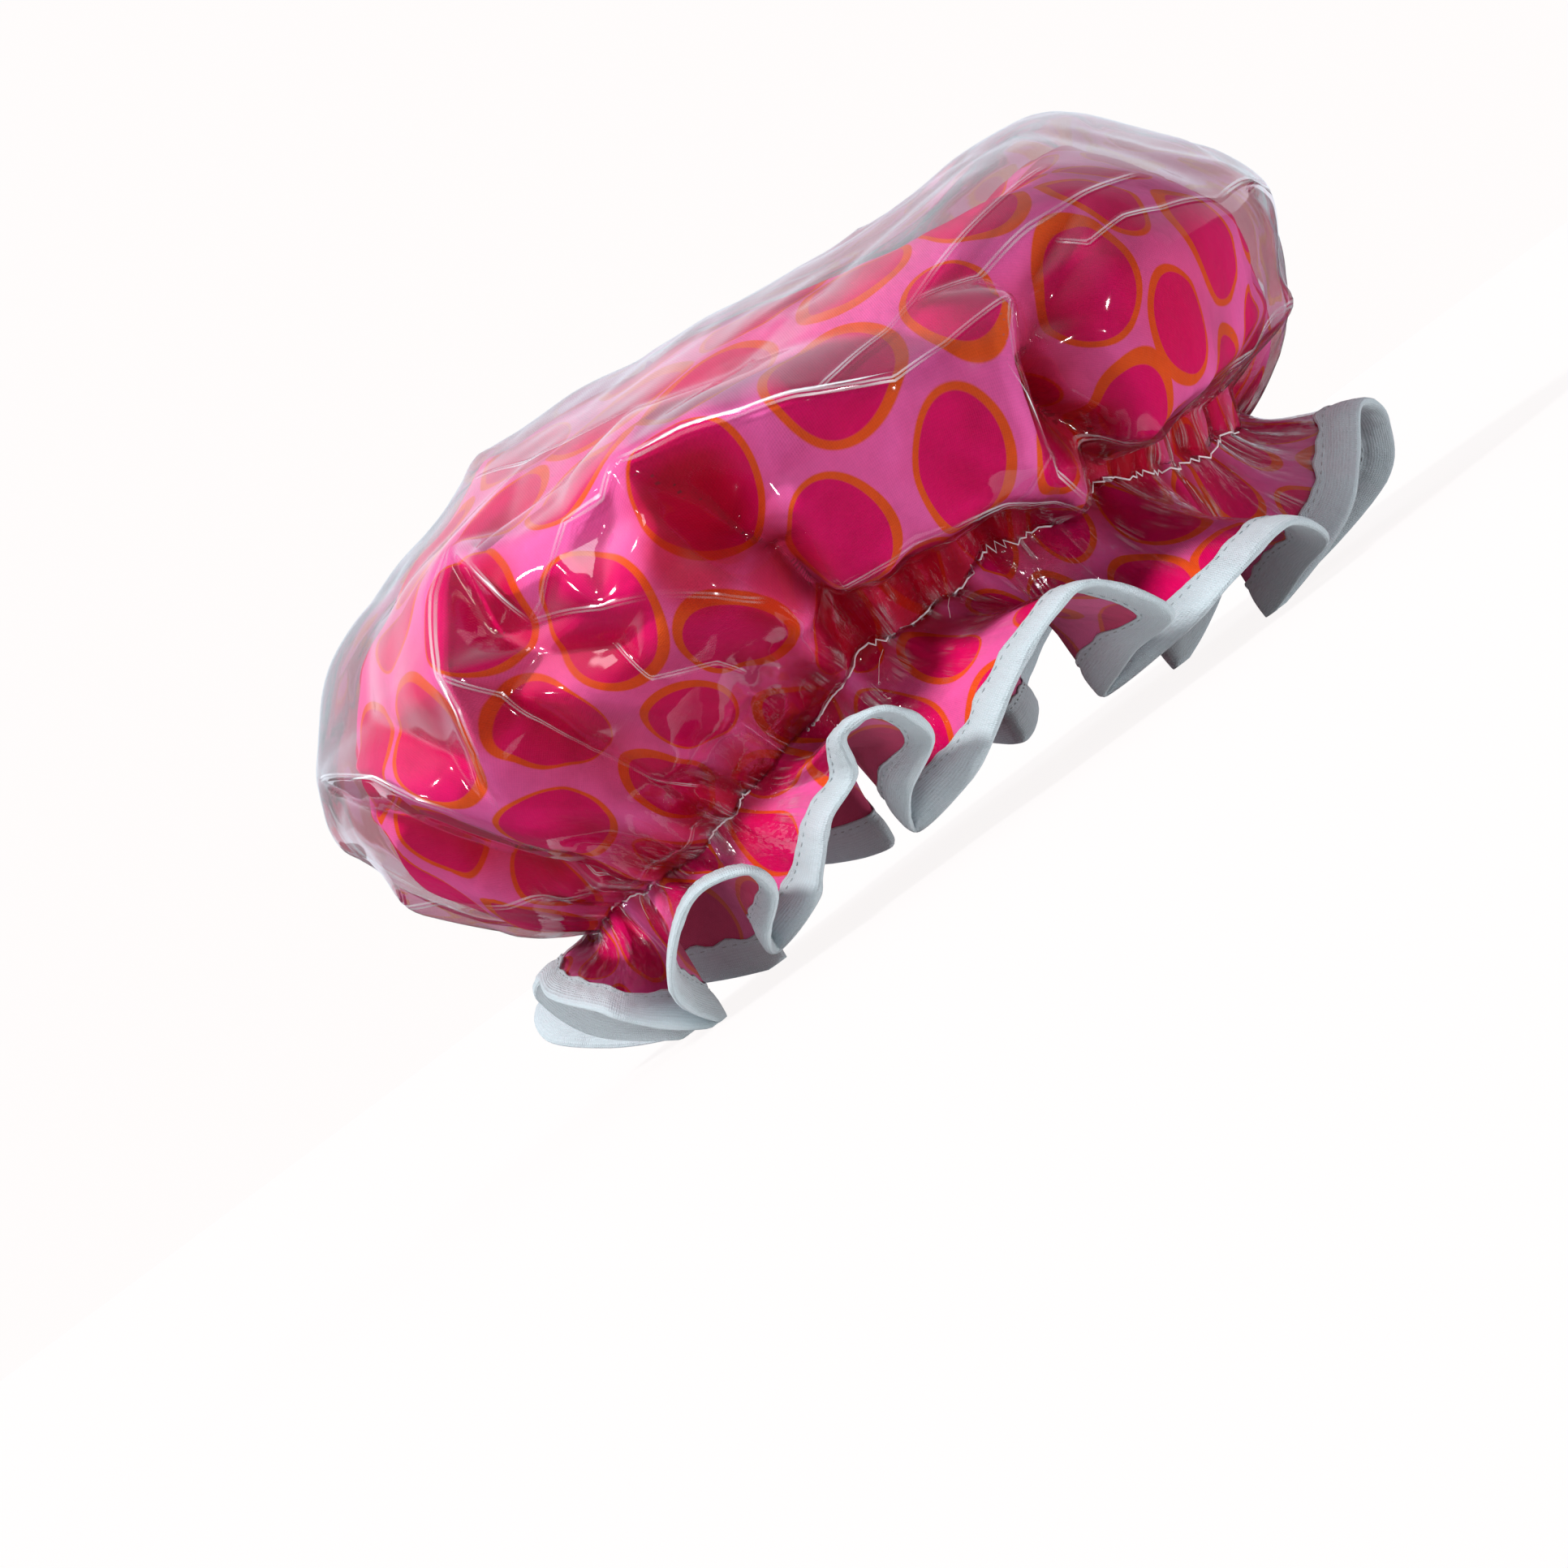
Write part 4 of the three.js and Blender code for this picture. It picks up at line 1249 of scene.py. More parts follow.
    def layer(self, layer: Layer, count: int) -> Surface:
        """One layer of the cap.

        Args:
            layer: which layer.
            count: how many columns.

        Returns:
            Its surface, with the marks that its finish reads.
        """
        shape = self.shape
        cols = shape.columns(count)
        tape_shares = np.linspace(self.cut_edge_share, 1, self.tape_rows)[:-1]
        frill = shape.frill(cols, np.append(tape_shares, np.linspace(1, 0, self.frill_rows)))
        share = np.append(np.linspace(0, self.last_row_share, self.crown_rows + 1)[1:], 1.0)[:, None]
        angle, share = np.broadcast_arrays(cols["ring"], share)
        smooth = shape.crown(angle, share)
        lift = self._lift(layer, smooth, angle, share)
        lift = lift + shape.pleat_depth * cols["swell"] * np.maximum(1 - share / shape.pleat_share, 0) ** 2
        crown = smooth + shape.crown_normal(angle, share) * lift[..., None]
        plain = np.concatenate([frill, smooth])
        arc = np.cumsum(np.linalg.norm(np.diff(plain, axis=0, prepend=plain[:1]), axis=-1), 0)
        flat = (arc[-1] - arc[:-1])[..., None] * ways(cols["ring"])
        arc = arc[:-1] - arc[len(frill) - 1]
        side = self.half_gap if layer is Layer.FILM else -self.half_gap
        surface = Surface(np.concatenate([frill, crown[:-1]]), crown[-1].mean(0), flat, arc)
        surface.points = surface.moved(self._fine_pleats(cols, arc))
        surface.points = surface.moved(np.full(arc.shape, side)) + (*shape.centring, 0)
        surface.top = surface.top + (*shape.centring, side)
        if layer is Layer.FILM:
            surface.marks = self._film_marks(angle[:-1], share[:-1], arc)
        else:
            # The cloth carries a mark of painted shade that its finish reads
            surface.marks = {"depth": self._painted_shade(cols, smooth[:-1], angle[:-1], share[:-1], arc)}
        return surface

    def _film_marks(self, angle: np.ndarray, share: np.ndarray, arc: np.ndarray) -> dict[str, np.ndarray]:
        """Marks of the film's creases, of its painted highlights, and of how far it is drawn in.

        Args:
            angle: angles of the crown's points.
            share: their height shares.
            arc: distance of all points above the elastic.

        Returns:
            The marks by name.
        """
        net, frill = self.net, np.zeros((len(arc) - len(angle), arc.shape[1]))
        groups = {str(group): ([fold for fold in net.folds if fold.group == group], self.crease_ending)
                  for group in range(net.groups)}
        groups["painted_highlight"] = ([Fold(line) for line in self.painted_highlight_lines], self.painted_highlight_ending)
        made = {"drawn": bell(arc, np.where(arc > 0, *self.drawn_reach))}
        for name, (folds, ending) in groups.items():
            away, shown = net.marks(angle, share, folds, ending)
            made[f"crease_{name}"] = np.concatenate([frill + net.nowhere, away])
            made[f"shown_{name}"] = np.concatenate([frill, shown])
        return made

    def _painted_shade(self, cols: dict[str, np.ndarray], smooth: np.ndarray, angle: np.ndarray, share: np.ndarray,
               arc: np.ndarray) -> np.ndarray:
        """Painted shade on the cloth: strongest in valleys, hollows and between pleats, and faint all over
        the frill.

        Args:
            cols: the columns.
            smooth: points of the smooth crown.
            angle: their angles.
            share: their height shares.
            arc: distance of all points above the elastic.

        Returns:
            The painted shade from 0 to 1 at every point of the cloth.
        """
        level = self.net.read(self.net.heights(self.painted_shade_round), angle, share) + 2.0 * self._pulled(smooth)
        # Painted shade grows where the rounded fold net lies below a level
        depth = np.clip((self.painted_shade_level - level) / self.painted_shade_span, 0, 1) ** 1.3
        for degrees, height, most, reach in self.shape.hollows:
            away = np.linalg.norm(smooth - self.shape.crown(np.radians(degrees), height), axis=-1)
            low = np.clip((self.hollow_level - level) / self.hollow_span, 0, 1)
            depth = np.maximum(depth, most * low / (1 + (away / reach) ** 6))
        frill = np.full((len(arc) - len(depth), arc.shape[1]), self.frill_painted_shade)
        # Painted shade between the small pleats near the elastic
        between_pleats = (1 - self._pleat_wave(cols)) * bell(arc, np.where(arc > 0, *self.painted_shade_reach))
        return np.clip(np.concatenate([frill, depth]) + self.pleat_painted_shade * between_pleats, 0, 1)

    def _lift(self, layer: Layer, smooth: np.ndarray, angle: np.ndarray, share: np.ndarray) -> np.ndarray:
        """How far a layer of the crown lies off the smooth crown.

        Args:
            layer: which layer.
            smooth: points of the smooth crown.
            angle: their angles.
            share: their height shares.

        Returns:
            The lift.
        """
        net = self.net
        pulls = self._pulled(smooth) + self._lifted(self.crumples(), smooth)
        puckers = self.pucker * waves(smooth, self.pucker_length, self.wave_count, self.seed + 2)
        puckers = puckers * np.minimum(share / 0.3, 1)
        film = net.read(net.heights(self.film_round), angle, share) + pulls
        if layer is Layer.FILM:
            return film + self._lifted(self.film_lines, smooth) + 0.3 * puckers
        air = self.shape.air(smooth, share)
        cloth = net.read(net.heights(self.cloth_round), angle, share) + pulls
        slack = 1 + waves(smooth, self.slack_length, self.wave_count, self.seed + 6)
        slack = self.slack * slack * np.minimum(share / 0.2, 1)
        return np.minimum(cloth, film) - air - slack - 0.5 * abs(puckers) * np.minimum(air / 2, 1)

    def _lifted(self, folds: object, smooth: np.ndarray) -> np.ndarray:
        """Lift of small folds."""
        return sum(self.shape.lift(fold, smooth, self.fold_round) for fold in folds)

    def _pulled(self, smooth: np.ndarray) -> np.ndarray:
        """Lift of the folds that fan out from the gathers."""
        return sum(self.shape.lift(fold, smooth, self.pull_round) for fold in self.pulls())

    def _pleat_wave(self, cols: dict[str, np.ndarray]) -> np.ndarray:
        """Share of its full height by which each column stands in a small pleat.

        Args:
            cols: the columns.

        Returns:
            Shares from 0 to 1.
        """
        around = ways(cols["ring"]) * self.shape.ring_radius
        wave = waves(around, self.shape.fine_pleat_pitch, 12, self.seed + 3)
        return np.clip(0.5 + 0.6 * wave, 0, 1) ** 1.4

    def _fine_pleats(self, cols: dict[str, np.ndarray], arc: np.ndarray) -> np.ndarray:
        """Height of the small pleats either side of the elastic.

        Args:
            cols: the columns.
            arc: distance of all points above the elastic.

        Returns:
            Heights in millimetres.
        """
        around = ways(cols["ring"]) * self.shape.ring_radius
        above = self.pleat_reach + self.pleat_reach_spread * waves(around, 40, 6, self.seed + 4)
        reach = np.where(arc > 0, above, self.pleat_reach_below)
        return self.shape.fine_pleat * self._pleat_wave(cols) * bell(arc, reach)


def in_scene(name: str, data: bpy.types.ID) -> bpy.types.Object:
    """An object with that data, in the scene.

    Args:
        name: the object's name.
        data: its mesh, light or camera.

    Returns:
        The object.
    """
    made = bpy.data.objects.new(name, data)
    bpy.context.scene.collection.objects.link(made)
    return made


def mesh_object(name: str, points: np.ndarray, faces: object, materials: list[bpy.types.Material],
                corners: object = (), uv_name: str = "flat") -> bpy.types.Object:
    """A mesh piece in the row frame.

    Args:
        name: the piece's name.
        points: its vertices, in millimetres.
        faces: vertex numbers of each face.
        materials: its materials.
        corners: the UV of each face's corners, in metres.
        uv_name: name of the UV map.

    Returns:
        The object.
    """
    mesh = bpy.data.meshes.new(name)
    mesh.from_pydata((points * MM).tolist(), [], [list(map(int, face)) for face in faces])
    mesh.polygons.foreach_set("use_smooth", np.ones(len(mesh.polygons), bool))
    if len(corners):
        uv = np.concatenate(list(corners)).astype(np.float32)
        mesh.uv_layers.new(name=uv_name).data.foreach_set("uv", uv.ravel())
    for material in materials:
        mesh.materials.append(material)
    return in_scene(name, mesh)


def grid_faces(rows: int, cols: int, closed_rows: bool = False) -> tuple[np.ndarray, np.ndarray]:
    """Faces of a grid that is closed along its columns.

    Args:
        rows: how many rows.
        cols: how many columns.
        closed_rows: whether the last row joins the first.

    Returns:
        Vertex numbers of each face, and the same without wrapping round, as row and column.
    """
    r, c = np.meshgrid(np.arange(rows if closed_rows else rows - 1), np.arange(cols), indexing="ij")
    corners = np.stack([np.stack([r, c], -1), np.stack([r + 1, c], -1), np.stack([r + 1, c + 1], -1),
                        np.stack([r, c + 1], -1)], -2).reshape(-1, 4, 2)
    return (corners[..., 0] % rows) * cols + corners[..., 1] % cols, corners


@dataclass
class Layers:
    """The clear film and the printed cloth, with their looks."""

    sewing: Sewing
    film_columns: int = 540
    cloth_columns: int = 276
    cloth_thickness: float = 0.3
    flat_size: float = 0.54

    def film(self) -> tuple[bpy.types.Object, Surface]:
        """Makes the clear film.

        Returns:
            The piece and its surface.
        """
        surface = self.sewing.layer(Layer.FILM, self.film_columns)
        points, faces, corners = self._skin(surface, 0.0)
        material = new_material("clear_film", FilmFinish().shader)
        piece = mesh_object("clear_film", points, faces, [material], corners)
        self._mark(piece, surface, 1)
        return piece, surface

    def cloth(self) -> bpy.types.Object:
        """Makes the cloth, printed on its outside, with a darker copy of the print on its inside: painted
        shade, with a little fading.

        Returns:
            The piece.
        """
        surface = self.sewing.layer(Layer.CLOTH, self.cloth_columns)
        points, faces, corners = self._skin(surface, 0.0)
        inner = self._skin(surface, self.cloth_thickness)[0]
        near = np.arange(self.cloth_columns)
        far = (near + 1) % self.cloth_columns
        rim = np.stack([near, far, far + len(points), near + len(points)], -1)
        rim_corners = surface.flat[0, np.stack([near, far, far, near], -1)] * MM
        outside = [*faces, *rim]
        inside = [face[::-1] + len(points) for face in faces]
        # The inside's print is darker than the outside's: painted shade of the cap's inside, with a little
        # fading towards the washed colour
        painted_shade_reverse = PrintFinish(ground=(0.66, 0.09, 0.27, 1), oval=(0.5, 0.01, 0.1, 1),
                              outline=(0.6, 0.08, 0.03, 1), fading=0.1)
        materials = [new_material("printed_cotton", PrintFinish().shader),
                     new_material("printed_cotton_reverse_painted_shade", painted_shade_reverse.shader)]
        piece = mesh_object("printed_cloth", np.concatenate([points, inner]), [*outside, *inside], materials,
                            [*corners, *rim_corners, *(corner[::-1] for corner in corners)])
        side = np.repeat([0, 1], (len(outside), len(inside))).astype(np.int32)
        piece.data.polygons.foreach_set("material_index", side)
        self._mark(piece, surface, 2)
        return piece

    @staticmethod
    def _skin(surface: Surface, sunk: float) -> tuple[np.ndarray, list[np.ndarray], list[np.ndarray]]:
        """One side of a layer, closed at its pole.

        Args:
            surface: the layer.
            sunk: how far the side lies below it, in millimetres.

        Returns:
            Points, faces and the UV of each face's corners.
        """
        rows, cols = surface.arc.shape
        grid = surface.moved(np.full((rows, cols), -sunk)).reshape(-1, 3)
        faces, places = grid_faces(rows, cols)
        near = np.arange(cols)
        far = (near + 1) % cols
        start, pole = (rows - 1) * cols, rows * cols
        fan = np.stack([start + near, np.full(cols, pole), start + far], -1)
        uv = surface.flat[places[..., 0], places[..., 1] % cols] * MM
        fan_uv = np.stack([surface.flat[-1, near], np.zeros((cols, 2)), surface.flat[-1, far]], 1) * MM
        return np.append(grid, [surface.top - (0, 0, sunk)], 0), [*faces, *fan], [*uv, *fan_uv]

    @staticmethod
    def _mark(piece: bpy.types.Object, surface: Surface, sides: int) -> None:
        """Lays a surface's marks on its piece, once for each side.

        Args:
            piece: the piece.
            surface: the layer that it was made from.
            sides: how many sides of the layer it has.
        """
        for name, marks in surface.marks.items():
            values = np.tile(np.append(marks.ravel(), marks[-1, 0]), sides).astype(np.float32)
            piece.data.attributes.new(name, "FLOAT", "POINT").data.foreach_set("value", values)


@dataclass
class PathTree:
    """Geometry Nodes that lay something along a path."""

    name: str

    def start(self, sizes: dict[str, float]) -> tuple[Wiring, bpy.types.Node]:
        """Starts a tree with a geometry and named sizes as its inputs.

        Args:
            sizes: the names of its sizes.

        Returns:
            The wiring and the input node.
        """
        tree = bpy.data.node_groups.new(self.name, "GeometryNodeTree")
        tree.interface.new_socket(name="Geometry", in_out="INPUT", socket_type="NodeSocketGeometry")
        for size in sizes:
            tree.interface.new_socket(name=size, in_out="INPUT", socket_type="NodeSocketFloat")
        tree.interface.new_socket(name="Geometry", in_out="OUTPUT", socket_type="NodeSocketGeometry")
        wiring = Wiring(tree)
        return wiring, wiring.node("NodeGroupInput")

    @staticmethod
    def end(w: Wiring, geometry: bpy.types.NodeSocket, material: bpy.types.Material) -> None:
        """Realizes what the tree made and sets its material.

        Args:
            w: the wiring.
            geometry: what the tree made.
            material: its material.
        """
        smooth = w.node("GeometryNodeSetShadeSmooth", inputs={0: geometry})
        real = w.node("GeometryNodeRealizeInstances", inputs={0: smooth.outputs[0]})
        dressed = w.node("GeometryNodeSetMaterial", inputs={0: real.outputs[0], "Material": material})
        w.node("NodeGroupOutput", inputs={0: dressed.outputs[0]})

    @staticmethod
    def apply(piece: bpy.types.Object, tree: bpy.types.NodeTree, sizes: dict[str, float],
              material: bpy.types.Material) -> None:
        """Runs a tree on a piece and keeps the result as its plain mesh.

        Args:
            piece: the piece with the path.
            tree: the tree.
            sizes: values of its named sizes.
            material: the material of the result.
        """
        modifier = piece.modifiers.new(tree.name, "NODES")
        modifier.node_group = tree
        for item in tree.interface.items_tree:
            if item.item_type == "SOCKET" and item.in_out == "INPUT" and item.name in sizes:
                modifier[item.identifier] = sizes[item.name]
        depsgraph = bpy.context.evaluated_depsgraph_get()
        mesh = bpy.data.meshes.new_from_object(piece.evaluated_get(depsgraph))
        piece.modifiers.clear()
        piece.data = mesh
        if not mesh.materials:
            mesh.materials.append(material)


def path_object(name: str, paths: list[tuple[np.ndarray, np.ndarray, bool]]) -> bpy.types.Object:
    """A mesh of plain lines, each point with the way out of what it lies on.

    Args:
        name: the piece's name.
        paths: for each line its points in millimetres, their outward ways, and whether it closes.

    Returns:
        The object.
    """
    points, outs, edges, start = [], [], [], 0
    for line, out, closed in paths:
        count = len(line)
        points.append(line)
        outs.append(out)
        edges += [(start + i, start + (i + 1) % count) for i in range(count if closed else count - 1)]
        start += count
    mesh = bpy.data.meshes.new(name)
    mesh.from_pydata((np.concatenate(points) * MM).tolist(), edges, [])
    way = mesh.attributes.new("out", "FLOAT_VECTOR", "POINT")
    way.data.foreach_set("vector", np.concatenate(outs).astype(np.float32).ravel())
    return in_scene(name, mesh)


def thread_tube(piece: bpy.types.Object, radius: float, material: bpy.types.Material) -> None:
    """Turns a piece's lines into thread.

    Args:
        piece: the piece.
        radius: the thread's radius, in millimetres.
        material: its material.
    """
    builder = PathTree(piece.name + "_tree")
    sizes = {"Radius": radius * MM}
    w, given = builder.start(sizes)
    curve = w.node("GeometryNodeMeshToCurve", inputs={"Mesh": given.outputs["Geometry"]})
    section = w.node("GeometryNodeCurvePrimitiveCircle",
                     inputs={"Resolution": THREAD_SIDES, "Radius": given.outputs["Radius"]})
    tube = w.node("GeometryNodeCurveToMesh", inputs={
        "Curve": curve.outputs[0], "Profile Curve": section.outputs[0], "Fill Caps": True})
    builder.end(w, tube.outputs[0], material)
    builder.apply(piece, w.tree, sizes, material)


@dataclass
class Gathers:
    """The elastic, the zigzag thread over it and its loose fibres."""

    shape: CapShape
    width: float = 5.0
    thickness: float = 0.8
    inside: float = 1.05
    lap: int = 14
    lap_depth: float = 1.5
    section: tuple = ((0.0, -0.8), (0.0, 0.8), (0.15, 0.97), (0.85, 0.97),
                      (1.0, 0.8), (1.0, -0.8), (0.85, -0.97), (0.15, -0.97))
    girth_shares: tuple = (0, 0.8, 0.9, 1.1, 1.2, 2.0, 2.1, 2.3, 2.4)
    zigzag_pitch: float = 2.6
    zigzag_up: float = 0.42
    zigzag_down: float = 0.3
    zigzag_level: float = 0.8
    zigzag_shift: float = 0.35
    zigzag_sizes: tuple[float, float] = (0.5, 1.35)
    thread_radius: float = 0.27
    thread_gap: float = 0.15
    fibre_count: int = 12
    fibre_points: int = 9
    fibre_radius: float = 0.06
    fibre_gap: float = 0.5
    fibre_start: tuple[float, float] = (-3, 2)
    fibre_step: tuple[float, float] = (0.6, 1.5)
    fibre_bounds: tuple[float, float] = (-12, 16)
    fibre_arch: tuple[float, float] = (0.3, 1.5)
    fibre_wander: float = 0.9
    fibre_shake: float = 0.15
    seed: int = 11

    def elastic(self, count: int) -> bpy.types.Object:
        """Makes the elastic as one flat band that laps over itself.

        Args:
            count: how many columns.

        Returns:
            The piece.
        """
        cols = self.shape.columns(count)
        drawn = np.full(count, cols["swell"].min())
        rows = []
        for inwards, up in self.section:
            loop, lapped = (
                self.shape.ring_points(cols, drawn, -self.inside - (inwards + turn) * self.thickness,
                                       up * 0.5 * self.width)
                for turn in (0, self.lap_depth))
            rows.append(np.concatenate([loop, lapped[:self.lap]]))
        grid = np.array(rows).swapaxes(0, 1) + (*self.shape.centring, 0)
        length, width = grid.shape[:2]
        faces, places = (found[:, [0, 3, 2, 1]] for found in grid_faces(length, width))
        steps = np.append(0, np.cumsum(np.linalg.norm(np.diff(grid[:, 0], axis=0), axis=-1)))
        girth = np.array(self.girth_shares) * self.width
        uv = np.stack([steps[places[..., 0]], girth[places[..., 1]]], -1) * MM
        start = np.arange(width)
        caps = [start[::-1], (length - 1) * width + start]
        material = new_material("elastic", ElasticFinish().shader)
        return mesh_object("elastic", grid.reshape(-1, 3), [*faces, *caps], [material],
                           [*uv, np.zeros((2 * width, 2))], "tape")

    def thread(self, film: Surface) -> bpy.types.Object:
        """Makes the zigzag thread over the gathers.

        Args:
            film: the surface that it is sewn through.

        Returns:
            The piece.
        """
        rng = np.random.default_rng(self.seed)
        cols = film.arc.shape[1]
        corners = int(2 * math.pi * self.shape.ring_radius / self.zigzag_pitch) * 2
        shift = rng.uniform(-self.zigzag_shift, self.zigzag_shift, corners)
        place = (np.arange(corners) + shift) * cols / corners
        rise = np.where(np.arange(corners) % 2 == 0, self.zigzag_up, -self.zigzag_down)
        rise = rise * rng.uniform(*self.zigzag_sizes, corners) + self.zigzag_level
        points, outs = film.beside_ring(place, rise, self.thread_radius + self.thread_gap)
        piece = path_object("gather_thread", [(points, outs, True)])
        finish = ThreadFinish((0.98, 0.92, 0.95), 0.35)
        thread_tube(piece, self.thread_radius, new_material("gather_thread", finish.shader))
        return piece

    def fibres(self, film: Surface) -> bpy.types.Object:
        """Makes the loose ends of thread that stand out of the gathers.

        Args:
            film: the surface that they lie on.

        Returns:
            The piece.
        """
        rng = np.random.default_rng(self.seed + 1)
        cols = film.arc.shape[1]
        paths = []
        steps = np.arange(self.fibre_points)
        for _ in range(self.fibre_count):
            start, wander = rng.uniform(0, cols), rng.uniform(-self.fibre_wander, self.fibre_wander)
            place = start + np.cumsum(rng.normal(wander, self.fibre_shake, len(steps)))
            rise = rng.uniform(*self.fibre_start)
            rise = rise + rng.choice((-1, 1)) * steps * rng.uniform(*self.fibre_step)
            points, outs = film.beside_ring(place, np.clip(rise, *self.fibre_bounds), self.fibre_gap)
            arch = rng.uniform(*self.fibre_arch) * np.sin(steps / steps[-1] * math.pi)
            paths.append((points + outs * arch[:, None], outs, False))
        piece = path_object("loose_fibres", paths)
        finish = ThreadFinish((0.85, 0.78, 0.76), 0.4)
        thread_tube(piece, self.fibre_radius, new_material("loose_fibre", finish.shader))
        return piece


@dataclass
class Hem:
    """The binding tape folded round both layers, and its running stitches."""

    shape: CapShape
    flat_size: tuple[float, float] = (0.026, 1.7)
    columns: int = 720
    half_thickness: float = 1.35
    edge_half_thickness: float = 0.95
    wall: float = 0.5
    seam_inset: float = 1.7
    seam_reach: float = 1.2
    flat_part: float = 6.0
    puff: float = 0.2
    puff_length: float = 12.0
    lump: float = 0.16
    lump_length: float = 5.0
    least_puff: float = 0.08
    pucker: float = 0.16
    edge_ripple: float = 0.75
    edge_ripple_length: float = 8.0
    stitch_pitch: float = 3.4
    stitch_length: float = 1.7
    stitch_radius: float = 0.2
    stitch_gap: float = 0.02
    seed: int = 17

    @property
    def tape_width(self) -> float:
        """Distance from the tape's fold to its edge, just short of the binding's room."""
        return self.shape.binding_width - 0.2

    @cached_property
    def _frames(self) -> tuple[np.ndarray, np.ndarray, np.ndarray]:
        """Lays out the tape at each column.

        Returns:
            Points of its fold line, the ways the cloth runs into it, and the ways out of its face.
        """
        cols = self.shape.columns(self.columns)
        middle, heading = self.shape.hem_frames(cols)
        fold = middle + heading * 0.5 * self.shape.binding_width
        tape = self.shape.frill(cols, np.array([2.0, 1.5, 1.0]))
        normal = Surface.grid_normals(tape).mean(0)
        normal = unit(sum(np.roll(normal, step, 0) for step in range(-3, 4)))
        normal = unit(normal - heading * (normal * heading).sum(-1, keepdims=True))
        return fold + (*self.shape.centring, 0), heading, normal

    def _place(self, side: np.ndarray, past: np.ndarray) -> np.ndarray:
        """Places beside the fold line, none below the floor.

        Args:
            side: distance off the tape's middle at each column.
            past: distance past the fold line, or back along the cloth if negative.

        Returns:
            One point for each column.
        """
        fold, heading, normal = self._frames
        points = fold + heading * past[:, None] + normal * side[:, None]
        points[:, 2] = np.maximum(points[:, 2], 0)
        return points

    def _outline(self) -> tuple[list[tuple[float, float]], list[tuple[float, float]]]:
        """Outer and inner outline of the folded tape, as side and past.

        Returns:
            Points of both, each from one edge of the tape round to the other.
        """
        width, thick, edge = self.tape_width, self.half_thickness, self.edge_half_thickness
        seam = width - self.seam_inset
        face = [(edge, -width), (edge + 0.12, -width + 0.7), (edge - 0.12, -seam), (thick - 0.2, -seam + 1.6),
                (thick, -4.6), (thick, -2.6), (thick - 0.1, -0.8)]
        turn = [(math.cos(a) * (thick - 0.15), math.sin(a) * 1.85) for a in np.radians((20, 45, 68, 90))]
        half = face + turn
        outer = half + [(-side, past) for side, past in half[-2::-1]]
        inner_half = [(edge - self.wall, -width), (thick - self.wall - 0.1, -4.5), (thick - self.wall, -1.0),
                      (0.6, 0.8), (0.0, 1.15)]
        inner = inner_half + [(-side, past) for side, past in inner_half[-2::-1]]
        return outer, inner[::-1]

    def tape(self) -> bpy.types.Object:
        """Makes the folded tape.

        Returns:
            The piece.
        """
        outer, inner = self._outline()
        fold, _, _ = self._frames
        along = np.append(0, np.cumsum(np.linalg.norm(np.diff(fold, axis=0, append=fold[:1]), axis=-1)))
        ring = ways(2 * math.pi * along[:-1] / along[-1]) * along[-1] / (2 * math.pi)
        puff = self.puff * waves(ring, self.puff_length, 14, self.seed)
        puff = puff + self.lump * waves(ring, self.lump_length, 14, self.seed + 2)
        puff = np.maximum(puff, -self.least_puff)
        pucker = self.pucker * np.sin(2 * math.pi * along[:-1] / self.stitch_pitch)
        ripple = self.edge_ripple * waves(ring, self.edge_ripple_length, 14, self.seed + 1)
        rows = []
        for side, past in [*outer, *inner]:
            seam = bell(past + self.shape.binding_width - self.seam_inset, self.seam_reach)
            edge = max(-past - self.flat_part, 0) / (self.shape.binding_width - self.flat_part)
            sides = side * (1 + puff * (1 - seam) + pucker * seam)
            rows.append(self._place(sides, past + edge * ripple))
        grid = np.array(rows)[::-1]
        section = np.linalg.norm(np.diff(np.array([*outer, *inner, outer[0]])[::-1], axis=0), axis=-1)
        girth = np.append(0, np.cumsum(section))
        faces, places = grid_faces(len(grid), self.columns, True)
        uv = np.stack([along[places[..., 1]], girth[places[..., 0]]], -1) * MM
        material = new_material("binding_tape", TapeFinish().shader)
        return mesh_object("binding_tape", grid.reshape(-1, 3), faces, [material], uv, "tape")

    def stitches(self) -> bpy.types.Object:
        """Makes the running stitches on both faces of the tape.

        Returns:
            The piece.
        """
        _, _, normal = self._frames
        past = np.full(self.columns, self.seam_inset - self.tape_width)
        lift = self.edge_half_thickness + self.stitch_gap
        paths = [(self._place(np.full(self.columns, side * lift), past), normal * side, True)
                 for side in (1, -1)]
        piece = path_object("running_stitches", paths)
        material = new_material("seam_thread", ThreadFinish((0.38, 0.42, 0.44), 0.7).shader)
        builder = PathTree("running_stitch_tree")
        sizes = {"Pitch": self.stitch_pitch, "Length": self.stitch_length, "Radius": self.stitch_radius}
        sizes = {name: size * MM for name, size in sizes.items()}
        w, given = builder.start(sizes)
        curve = w.node("GeometryNodeMeshToCurve", inputs={"Mesh": given.outputs["Geometry"]})
        spots = w.node("GeometryNodeCurveToPoints", {"mode": "LENGTH"},
                       {"Curve": curve.outputs[0], "Length": given.outputs["Pitch"]})
        out = w.node("GeometryNodeInputNamedAttribute", {"data_type": "FLOAT_VECTOR"}, {"Name": "out"})
        aimed = w.node("FunctionNodeAlignRotationToVector", {"axis": "X"},
                       {"Vector": spots.outputs["Tangent"]})
        stood = w.node("FunctionNodeAlignRotationToVector", {"axis": "Z", "pivot_axis": "X"},
                       {"Rotation": aimed.outputs[0], "Vector": out.outputs[0]})
        bead = w.node("GeometryNodeMeshUVSphere", inputs={"Segments": 6, "Rings": 4, "Radius": 1.0})
        half_length, radius = Wire(w, given.outputs["Length"]) * 0.5, given.outputs["Radius"]
